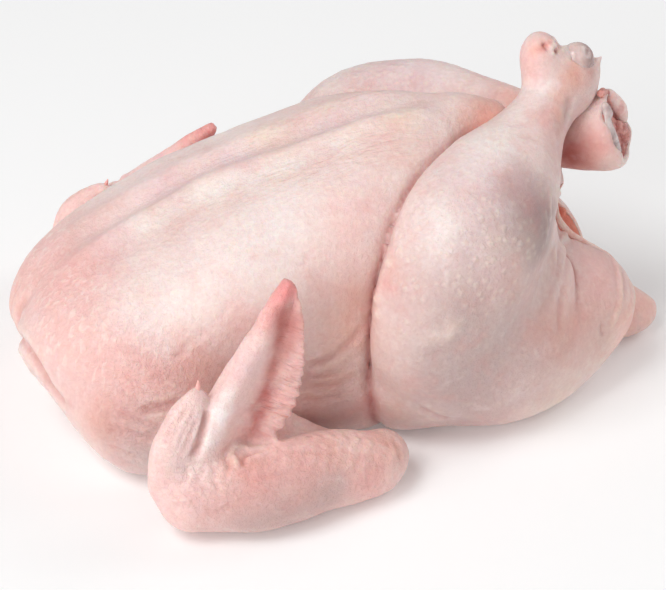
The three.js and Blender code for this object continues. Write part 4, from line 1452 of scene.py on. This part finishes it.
# %% [markdown]
# ## Fat, cartilage, flesh and claw
#
# The small pieces at the joints are bare tissue. Each has two colours that run into each other in clouds a
# few millimetres wide, a fine bump and a wetter gloss than skin. They could be six materials made one by one.
# One function makes them all, because they differ only in colour, in bump and in how far light enters.

# %% Bare tissue
RED_GREY = opaque(150, 116, 112)


def make_tissue(name, light, dark, cloud_size, bump_height, roughness, depth, dark_from=None):
    """Mixes the two colours by noise with clouds of the given size in mm. The bump is noise at a third of
    that size, its height in mm. Where dark_from is given, a darker red-grey comes in over 6 mm of x."""
    g = Graph(name)
    at = g.in_mm()
    clouds = g.noise(at, 0.6 / cloud_size, 3.0, 0.6, 0.6)
    grain = g.noise(at, 1.8 / cloud_size, 3.0, 0.6, 0.3)
    shown = g.mix(g.smooth(clouds, 0.34, 0.66), opaque(*dark), opaque(*light))
    shown = g.mix(g.smooth(grain, 0.35, 0.7, 0.0, 0.3), shown, opaque(*light))
    if dark_from is not None:
        x = g.add("SeparateXYZ", {0: at}).outputs[0]
        shown = g.mix(g.smooth(x, dark_from, dark_from + 6, 0.0, 0.75), shown, RED_GREY)
    g.feed(g.shader.inputs["Base Color"], shown)
    bump = g.add("Bump", {"Height": g.product(grain, bump_height), "Distance": MM})
    g.feed(g.shader.inputs["Normal"], bump.outputs[0])
    g.feed(g.shader.inputs["Roughness"], g.smooth(grain, 0.3, 0.7, roughness - 0.06, roughness + 0.08))
    g.feed(g.shader.inputs["Subsurface Weight"], 0.3)
    g.feed(g.shader.inputs["Subsurface Radius"], (1.0, 0.35, 0.2))
    g.feed(g.shader.inputs["Subsurface Scale"], depth * MM)
    g.feed(g.shader.inputs["Coat Weight"], 0.3)
    g.feed(g.shader.inputs["Coat Roughness"], 0.2)
    return g.material


# light and dark colour, cloud size and bump height in mm, roughness, and how deep light enters in mm
cartilage = make_tissue("cartilage", (224, 206, 202), (184, 164, 163), 6.0, 0.3, 0.3, 2.0)
cap_cartilage = make_tissue("cap_cartilage", (238, 214, 208), (204, 174, 170), 6.0, 0.2, 0.24, 2.0, 89.5)
fat = make_tissue("pale_fat", (252, 222, 216), (232, 178, 172), 4.0, 0.8, 0.36, 2.0)
flesh = make_tissue("red_flesh", (236, 168, 158), (186, 104, 96), 2.6, 1.2, 0.36, 1.2)
edge_skin = make_tissue("skin_edge", (252, 224, 214), (238, 180, 168), 5.0, 0.8, 0.45, 2.0)
claw_horn = make_tissue("claw", (250, 190, 182), (232, 156, 148), 2.0, 0.2, 0.4, 1.0)
tissues = (cartilage, cap_cartilage, fat, flesh, edge_skin, claw_horn)
print("tissue shaders:", ", ".join(material.name for material in tissues))

# %% [markdown]
# ## From arrays to pieces
#
# A mesh of this size could be built face by face with bmesh, but that takes minutes. Blender's own arrays
# take a whole numpy array at once, so the vertices, the faces and the painted layers go in as they are. The
# body is three pieces, because the two bare joints need a finer mesh than the rest, and their edges overlap
# inside a sleeve of skin.

# %% Numpy mesh to Blender object
def to_object(name, vertices, faces, material, layers=None):
    """Writes vertices in millimetres and faces of four corners into a smooth-shaded mesh in metres, with
    colour or vector layers on its points."""
    mesh = bpy.data.meshes.new(name)
    mesh.vertices.add(len(vertices))
    mesh.vertices.foreach_set("co", (vertices * MM).astype(np.float32).ravel())
    mesh.loops.add(faces.size)
    mesh.loops.foreach_set("vertex_index", faces.astype(np.int32).ravel())
    mesh.polygons.add(len(faces))
    mesh.polygons.foreach_set("loop_start", np.arange(0, faces.size, faces.shape[1], dtype=np.int32))
    mesh.polygons.foreach_set("use_smooth", np.ones(len(faces), bool))
    for layer, values in (layers or {}).items():
        if values.shape[1] == 4:
            target = mesh.attributes.new(layer, "FLOAT_COLOR", "POINT")
            target.data.foreach_set("color", values.astype(np.float32).ravel())
        else:
            target = mesh.attributes.new(layer, "FLOAT_VECTOR", "POINT")
            target.data.foreach_set("vector", values.astype(np.float32).ravel())
    mesh.update(calc_edges=True)
    mesh.validate()
    piece = bpy.data.objects.new(name, mesh)
    bpy.context.scene.collection.objects.link(piece)
    mesh.materials.append(material)
    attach(piece, "root")
    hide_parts("chicken")


def turned_over(vertices, faces):
    """The mesh on the other side of the bird, with its faces turned round so that they still point out."""
    return vertices * OTHER_SIDE, faces[:, ::-1]


def with_one(values):
    """Three columns with a column of ones after them, the opacity of a colour."""
    return np.column_stack([values, np.ones(len(values))])


print("pieces to make from", len(skin), "skins")


# %% Carcass, hock and shank
for name in ("carcass", "right_hock", "left_shank"):
    points, faces = skin[name]
    layers = {"tint": with_one(tint_of_carcass(points, relief[name])), "feel": feel_of_carcass(points)}
    to_object(name, points, faces, body_skin, layers)
print("body skinned after", round(time.time() - started, 1), "s")

# %% Wings
for name, (field, shape) in wings.items():
    points, faces = skin[name]
    patches = WING_PATCHES + (LEFT_WING_PATCHES if name == "left_wing" else [])
    layers = {
        "tint": with_one(tint_of_wing(points, place_patches(patches, field), relief[name])),
        "feel": feel_of_wing(points, place_all(WING_FEEL, field)),
        "hand": np.column_stack(hand_place(points.astype(np.float32), shape)),
    }
    if name == "left_wing":
        points, faces = turned_over(points, faces)
    to_object(name, points, faces, wing_skin, layers)
print("wings skinned after", round(time.time() - started, 1), "s")


# %% [markdown]
# ## Cartilage cap
#
# Where the right foot was cut off, a smooth grey-pink cap of cartilage stands out of the skin. It could be
# painted on the skin, but it stands out from it and shines differently, so it is a piece with a material of
# its own. An ellipsoid with one dent gives its form, netted as the skin was.

# %% Cartilage cap of the right hock
def hock_cap(points):
    """An ellipsoid that stands out of the knob's opening, less a dent at its right."""
    cap = ellipsoid(points, (90.8, -4.6, 123.9), (6.6, 6.3, 6.9))
    dent = 1.2 * hump(np.linalg.norm(points - np.array([94.5, -8.5, 128.6], np.float32), axis=1), 0, 2.2)
    return cap + dent


def add_piece(name, field, low, high, cell, material, rough):
    """Nets a small field and makes an object of it, with a little seeded noise on its surface."""
    vertices, faces = net_of(field, low, high, cell)
    moved = rough * (noise(vertices, 1.7, 50) + 0.6 * noise(vertices, 3.1, 53))
    to_object(name, vertices + vertex_normals(vertices, faces) * moved[:, None], faces, material)
    print(name, 2 * len(faces), "triangles")


add_piece("hock_cartilage", hock_cap, (81, -13, 116), (99, 4, 133), 0.45, cap_cartilage, rough=0.06)


# %% [markdown]
# ## Flesh, fat and plates in the open shank
#
# The other shank's open end holds a bed of red flesh, a roll of fat and grey plates of cartilage. They could
# be one lump with a painted face, but each has a form and a gloss of its own. So they are three pieces, laid
# along paths on the cut face that are given by the pixels they are seen at.

# %% What fills the open end of the left shank
def through_face(pixels, out):
    """Where the rays through pixels meet the plane that lies `out` mm before the cut face."""
    way = rays_through(pixels)
    gone = ((FACE + FACE_OUT * out - EYE) @ FACE_OUT) / (way @ FACE_OUT)
    return EYE + way * gone[:, None]


def face_limb(points, pixels, radii, out, flatness=1.0):
    """Round cones along a path that is given by pixels on the face, flattened against it."""
    return limb(points, np.column_stack([through_face(pixels, out), radii]), 4, FACE_OUT, flatness)


def shank_flesh(points):
    """The inside of the shank, 2 mm under its skin and up to 1.6 mm below the rim, with lumps from noise, a
    swelling and a shred."""
    out = on_face(points)[2]
    inside = limb(points, SHANK_END) + 2.0
    uneven = 0.9 * noise(points, 2.4, 51).astype(np.float32)
    bed = soft_max(soft_max(inside, out + 1.6 - uneven, 1), -out - 6, 1)
    swelling = face_limb(points, [(617, 126), (621, 131), (623, 139)], (2.4, 2.8, 2.2), -1.2)
    shred = face_limb(points, [(600, 93), (603, 91.5), (607, 95)], (1.3, 1.5, 1.2), -1.0)
    return soft_min(soft_min(bed, swelling, 1), shred, 1)


def shank_fat(points):
    """A roll of fat from the top of the face, down its right half."""
    return face_limb(points, [(609, 95), (613, 101), (618, 109), (621, 117)], (2.2, 2.9, 3.0, 2.4), -0.2)


def shank_plates(points):
    """A grey plate down the left half, and a smaller one below the roll of fat."""
    down_left = [(606, 120), (608, 129), (612, 139), (617, 148)]
    plate = face_limb(points, down_left, (2.2, 3.0, 3.0, 2.0), -0.9, 1.5)
    return soft_min(plate, face_limb(points, [(604, 107), (606, 113)], (1.8, 2.2), -0.4), 1.5)


FACE_LOW, FACE_HIGH = (88, -30, 74), (124, 16, 118)
add_piece("shank_flesh", shank_flesh, FACE_LOW, FACE_HIGH, 0.5, flesh, rough=0.5)
add_piece("shank_fat", shank_fat, FACE_LOW, FACE_HIGH, 0.5, fat, rough=0.3)
add_piece("shank_cartilage", shank_plates, FACE_LOW, FACE_HIGH, 0.5, cartilage, rough=0.2)


# %% [markdown]
# ## Torn edge of the vent
#
# The belly skin was cut and torn open, and its edge has curled and thickened. A bevelled curve could follow
# the rim, but its section stays the same shape all the way. Here the rim is found on the finished mesh, and a
# band is laid along it whose section grows and shrinks.

# %% Edge of the vent
VENT_MIDDLE = np.array([0, -2.2, 47])  # the ring runs round a line along x through this point
VENT_RADIUS = 20  # mm, about
VENT_LOW, VENT_HIGH = (66, -90, 22), (140, 90, 84)  # where its rim is looked for


def vent_edge(count=120):
    """The rim is where the skin lies equally deep under the closed body and in the empty limb, and of several
    such places the one nearest VENT_RADIUS. Round the vent's middle, one vertex of the carcass is taken in
    each of `count` sectors, and the ring is smoothed twice by a mean over seven of them. Returns the closed
    path and the direction outwards at each point."""
    vertices = skin["carcass"][0]
    vertices = vertices[((vertices > VENT_LOW) & (vertices < VENT_HIGH)).all(1)]
    y, z = (vertices - VENT_MIDDLE)[:, 1:].T
    place = vertices.astype(np.float32)
    uneven = np.abs(closed_body(place) + vent(place)) + 0.02 * np.abs(np.hypot(y, z) - VENT_RADIUS)
    sector = np.floor(np.arctan2(z, y) / (2 * np.pi) * count).astype(int) % count
    order = np.lexsort((uneven, sector))
    first = order[np.unique(sector[order], return_index=True)[1]]
    path = vertices[first]
    for _ in range(2):
        path = sum(np.roll(path, shift, 0) for shift in range(-3, 4)) / 7
    outwards = (path - VENT_MIDDLE) * (0, 1, 1)
    return path, outwards / np.linalg.norm(outwards, axis=1, keepdims=True)


def closed_ring(path, outwards, wide, thick, sides=14):
    """A band round a closed path: at each point an ellipse in the plane of the outward direction and of the
    cross product of that direction with the path's own."""
    onward = np.roll(path, -1, 0) - np.roll(path, 1, 0)
    across = np.cross(onward, outwards)
    across /= np.linalg.norm(across, axis=1, keepdims=True)
    turn_angle = np.arange(sides) * 2 * np.pi / sides
    in_and_out = thick[:, None, None] * np.cos(turn_angle)[:, None] * outwards[:, None]
    to_and_fro = wide[:, None, None] * np.sin(turn_angle)[:, None] * across[:, None]
    points = path[:, None] + in_and_out + to_and_fro
    i, j = np.meshgrid(np.arange(len(path)), np.arange(sides), indexing="ij")
    after, beside = (i + 1) % len(path), (j + 1) % sides
    faces = np.stack([i * sides + j, after * sides + j, after * sides + beside, i * sides + beside], -1)
    return points.reshape(-1, 3), faces.reshape(-1, 4)


path, outwards = vent_edge()
share = ramp(outwards[:, 2], -0.3, 0.3) * (1 - ramp(outwards[:, 2], 0.6, 0.9))  # thickest at the sides
torn = 1 + 0.35 * noise(path, 4, 52)
wide, thick = 0.5 + 0.9 * share * torn, 0.4 + 0.6 * share * torn
vertices, faces = closed_ring(path + 0.3 * outwards, outwards, wide, thick)
if (vertex_normals(vertices, faces)[0] @ (vertices[0] - path[0])) < 0:
    faces = faces[:, ::-1]
to_object("vent_edge", vertices, faces, edge_skin)
print("edge of the vent from x", path[:, 0].min().round(), "to", path[:, 0].max().round(), "mm")


# %% [markdown]
# ## Claws
#
# Each thumb ends in a short horny claw. A cone from the menu would be straight and would stick out of the
# skin like a thorn, so the claw is a limb of four stops that starts inside the thumb and bends a little
# towards the neck and up.

# %% Claws
def claw(points, wing_shape):
    """A thin cone from inside the thumb's tip outwards, bent a little towards the neck and up."""
    root, tip = np.array(wing_shape["thumb"], float).reshape(2, 3)
    way = (tip - root) / np.linalg.norm(tip - root)
    along, bend, radius = np.array([(-2, 0, 1.4), (1.2, 0, 1.2), (3.2, 0.4, 0.8), (5.2, 1.2, 0.25)]).T
    stops = np.column_stack([tip + np.outer(along, way) + np.outer(bend, (-0.5, 0, 0.3)), radius])
    return limb(points, stops)


for name, (_, shape) in wings.items():
    tip = np.array(shape["thumb"][3:], float)
    vertices, faces = net_of(lambda points: claw(points, shape), tip - 6, tip + 8, 0.3)
    if name == "left_wing":
        vertices, faces = turned_over(vertices, faces)
    to_object(name.replace("wing", "claw"), vertices, faces, claw_horn)
    print(name.replace("wing", "claw"), 2 * len(faces), "triangles")

# %% [markdown]
# ## Table and light
#
# A pale table, a large soft light from the upper left, a weaker one from the front, a faint one from the
# legs' end and a white room. Point lights would draw hard shadows and hot spots on wet skin. These are wide,
# and far enough away to fall evenly.

# %% Table
def make_table(half=6.0):
    """A flat square, `half` metres to each side, that gives off a little light so that shadows stay soft."""
    corners = [(-half, -half, 0), (half, -half, 0), (half, half, 0), (-half, half, 0)]
    mesh = bpy.data.meshes.new("table")
    mesh.from_pydata(corners, [], [(0, 1, 2, 3)])
    table = bpy.data.objects.new("table", mesh)
    bpy.context.scene.collection.objects.link(table)
    g = Graph("pale_table")
    g.feed(g.shader.inputs["Base Color"], (0.95, 0.95, 0.95, 1))
    g.feed(g.shader.inputs["Roughness"], 0.8)
    g.feed(g.shader.inputs["Emission Color"], (1, 1, 1, 1))
    g.feed(g.shader.inputs["Emission Strength"], 0.08)
    mesh.materials.append(g.material)


make_table()
print("table laid at z = 0")


# %% Light
def soft_box(name, place, target, size, watts):
    """A rectangular light at a place in metres, turned so that its own -Z looks at the target."""
    light = bpy.data.lights.new(name, "AREA")
    light.shape = "RECTANGLE"
    light.size, light.size_y = size
    light.energy = watts
    holder = bpy.data.objects.new(name, light)
    holder.location = place
    holder.rotation_mode = "QUATERNION"
    holder.rotation_quaternion = (Vector(target) - Vector(place)).to_track_quat("-Z", "Y")
    bpy.context.scene.collection.objects.link(holder)


MID_BIRD, MID_LEGS = (0, 0, 0.05), (0.08, 0, 0.05)
soft_box("key", (-1.3, -0.6, 2.1), MID_BIRD, (1.2, 1.2), watts=29.0)
soft_box("fill", (-1.6, -1.6, 0.9), MID_BIRD, (1.2, 1.2), watts=17.5)
soft_box("edge", (1.5, 0.3, 1.0), MID_LEGS, (1.0, 1.0), watts=7.0)
world = bpy.data.worlds.new("studio")
world.use_nodes = True
world.node_tree.nodes["Background"].inputs["Color"].default_value = (1, 1, 1, 1)
world.node_tree.nodes["Background"].inputs["Strength"].default_value = 0.37
bpy.context.scene.world = world
bpy.context.scene.view_settings.view_transform = "Standard"
print(len(bpy.data.lights), "lights and a white room")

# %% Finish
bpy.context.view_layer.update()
print("made in", round(time.time() - started, 1), "s")
